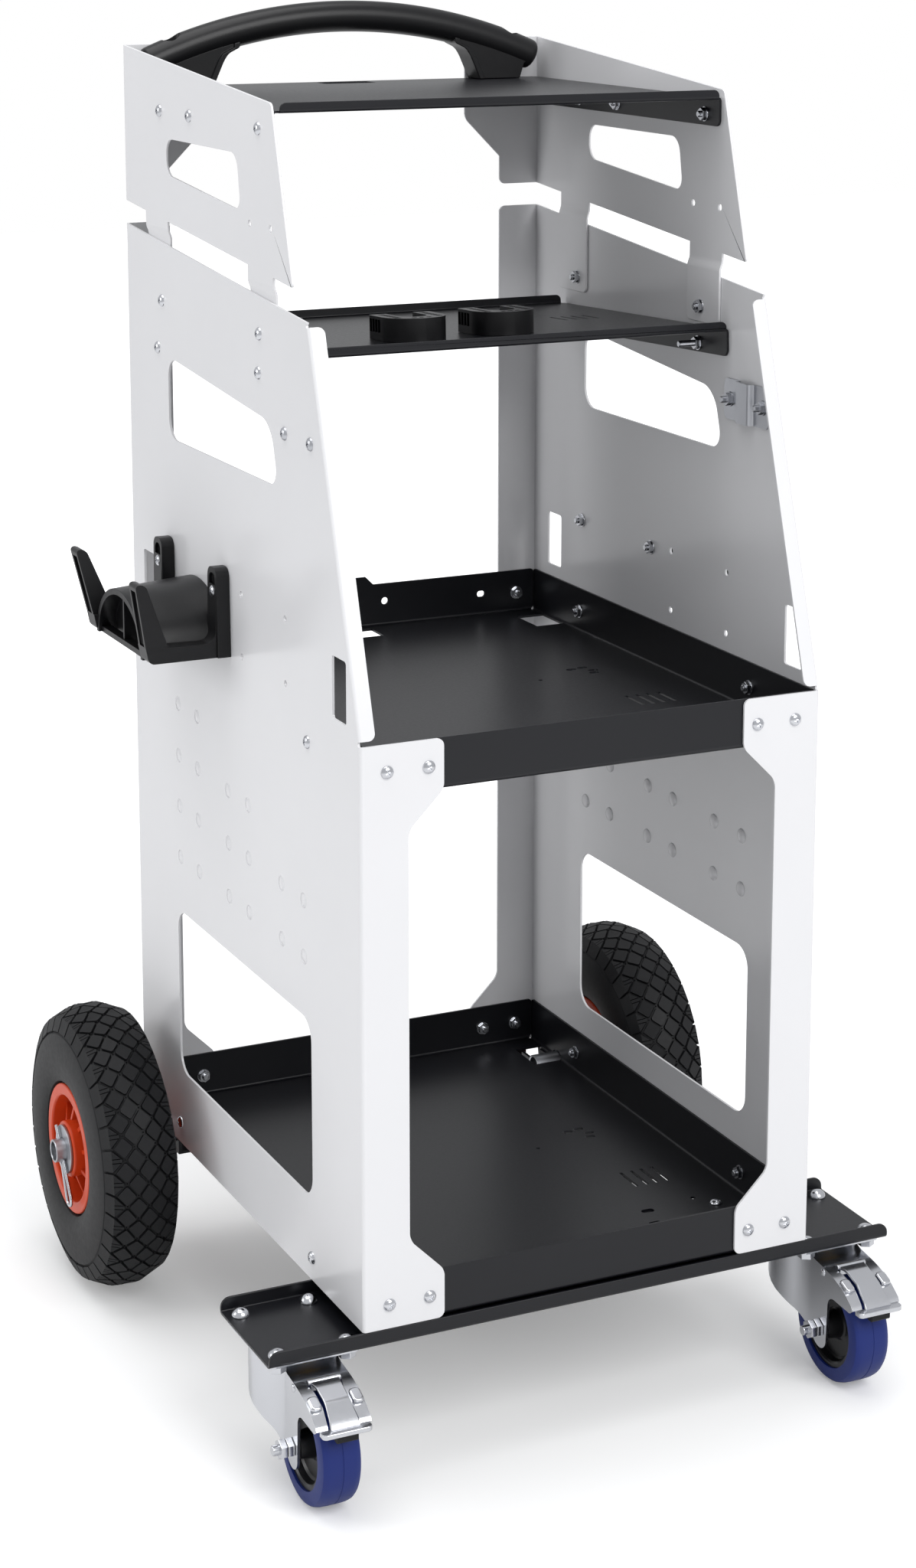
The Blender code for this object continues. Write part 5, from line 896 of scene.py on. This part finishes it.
half_turn = math.asin(GRIP_HALF / ARCH)
rise = Vector((math.cos(half_turn), 0, math.sin(half_turn)))
grip = wire(GRIP_RADIUS, plane((-GRIP_HALF, GRIP_Y, grip_height(GRIP_HALF)), rise, rise.cross(BACK)),
            [(-2 * math.degrees(half_turn), ARCH)], 40)
work = opened(grip)
rims = [edge for edge in work.edges if any(len(face.verts) > 4 for face in edge.link_faces)]
bevelled(work, rims, 0.005, 5)
seat = grip_height(HANDLE_SCREW) + 0.007
spots = [drill((sx * HANDLE_SCREW, GRIP_Y, seat + 0.02), UP, 0.0086, 0.04, 40) for sx in (-1, 1)]
piece("handle_grip", cut(mesh_from(work), spots), plastic, "cart", "handle_tube", soften=0.0008)
foot, throat = DECK_TOP + 0.0003, grip_height(0.1315) - GRIP_RADIUS
inner = [(0.106, grip_height(0.106) - 0.0086), (0.106, throat + 0.0068), (0.117, throat + 0.0015),
         (0.1215, throat - 0.005), (0.1315, foot)]
outer = [(0.174, foot), (0.1785, foot + 0.014)]
outer += [(x, grip_height(x) - 0.0086) for x in (0.182, 0.163, 0.144, 0.125)]
pocket = [(0.11, 1.16)] + [(x + 0.0055, z) for x, z in inner]
pocket += [(0.137, foot - 0.01), (0.2, foot - 0.01), (0.2, 1.16)]
for label, side in SIDES:
    body = punch(inner + outer, plane((0, GRIP_Y, 0), RIGHT * side, UP), {1: 0.002, 2: 0.003, 3: 0.003},
                 2 * FOOT_HALF)
    pockets = [punch(pocket, plane((0, GRIP_Y + face * FOOT_HALF, 0), RIGHT * side, UP), depth=0.005)
               for face in (-1, 1)]
    support = cut(body, pockets)
    piece(label + "_handle_foot", support, plastic, "cart", label + "_handle_support", soften=0.0008)
    handle_bolt = bolt((side * HANDLE_SCREW, GRIP_Y, seat), UP, seat - DECK_TOP + SHEET)
    piece(label + "_handle_bolt", handle_bolt, zinc, "cart", label + "_handle_screw", soften=0)

# Studio
# A white sweep under a broad soft light from the front and above, as for a catalogue picture; the floor
# keeps the cart's soft shadow.
scene = bpy.context.scene
work = bmesh.new()
bmesh.ops.create_grid(work, x_segments=1, y_segments=1, size=9.0)
floor = bpy.data.objects.new("floor", mesh_from(work))
scene.collection.objects.link(floor)
paper = bpy.data.materials.new("white paper")
paper.use_nodes = True
nodes, links = paper.node_tree.nodes, paper.node_tree.links
shader = nodes["Principled BSDF"]
dial(shader, {"Base Color": (0.82, 0.82, 0.82, 1), "Roughness": 0.9, "Emission Color": (1, 1, 1, 1)})
where = nodes.new("ShaderNodeTexCoord")
away = nodes.new("ShaderNodeVectorMath")
away.operation = "LENGTH"
links.new(where.outputs["Object"], away.inputs[0])
fade = nodes.new("ShaderNodeMapRange")
dial(fade, {"From Min": 0.5, "From Max": 2.4, "To Min": 0.23, "To Max": 0.8})
links.new(away.outputs["Value"], fade.inputs["Value"])
ray = nodes.new("ShaderNodeLightPath")
lift = nodes.new("ShaderNodeMath")
lift.operation = "MULTIPLY"
links.new(fade.outputs["Result"], lift.inputs[0])
links.new(ray.outputs["Is Camera Ray"], lift.inputs[1])
links.new(lift.outputs["Value"], shader.inputs["Emission Strength"])
floor.data.materials.append(paper)

world = bpy.data.worlds.new("white room")
scene.world = world
world.use_nodes = True
nodes, links = world.node_tree.nodes, world.node_tree.links
seen = nodes["Background"]
dial(seen, {"Color": (1, 1, 1, 1), "Strength": 1.0})
glow = nodes.new("ShaderNodeBackground")
dial(glow, {"Color": (0.97, 0.98, 1.0, 1), "Strength": 0.65})
ray = nodes.new("ShaderNodeLightPath")
choice = nodes.new("ShaderNodeMixShader")
links.new(ray.outputs["Is Camera Ray"], choice.inputs["Fac"])
links.new(glow.outputs["Background"], choice.inputs[1])
links.new(seen.outputs["Background"], choice.inputs[2])
links.new(choice.outputs["Shader"], nodes["World Output"].inputs["Surface"])


def softbox(name, place, aim, size, power):
    """Square lamp that faces a point."""
    lamp = bpy.data.lights.new(name, "AREA")
    lamp.size, lamp.energy = size, power
    made = bpy.data.objects.new(name, lamp)
    made.matrix_world = Matrix.Translation(place) @ (
        Vector(aim) - Vector(place)).to_track_quat("-Z", "Y").to_matrix().to_4x4()
    scene.collection.objects.link(made)


softbox("key", (0.6, -3.2, 2.9), (0, 0, 0.5), 2.2, 82)
softbox("top", (-0.4, 0.2, 3.6), (0, 0, 0.4), 2.6, 52)
softbox("left", (-3.0, 1.0, 1.6), (0, 0, 0.6), 1.2, 19)

camera = bpy.data.cameras.new("camera")
camera.lens, camera.sensor_width, camera.sensor_fit = 70.068, 36.0, "AUTO"
camera.shift_y = -0.18262
view = bpy.data.objects.new("camera", camera)
view.matrix_world = plane((-1.0988, -2.3481, 1.2564), (0.90546, -0.42443, 0.0), (0.08137, 0.17359, 0.98145))
scene.collection.objects.link(view)
scene.camera = view
scene.view_settings.view_transform = "Standard"
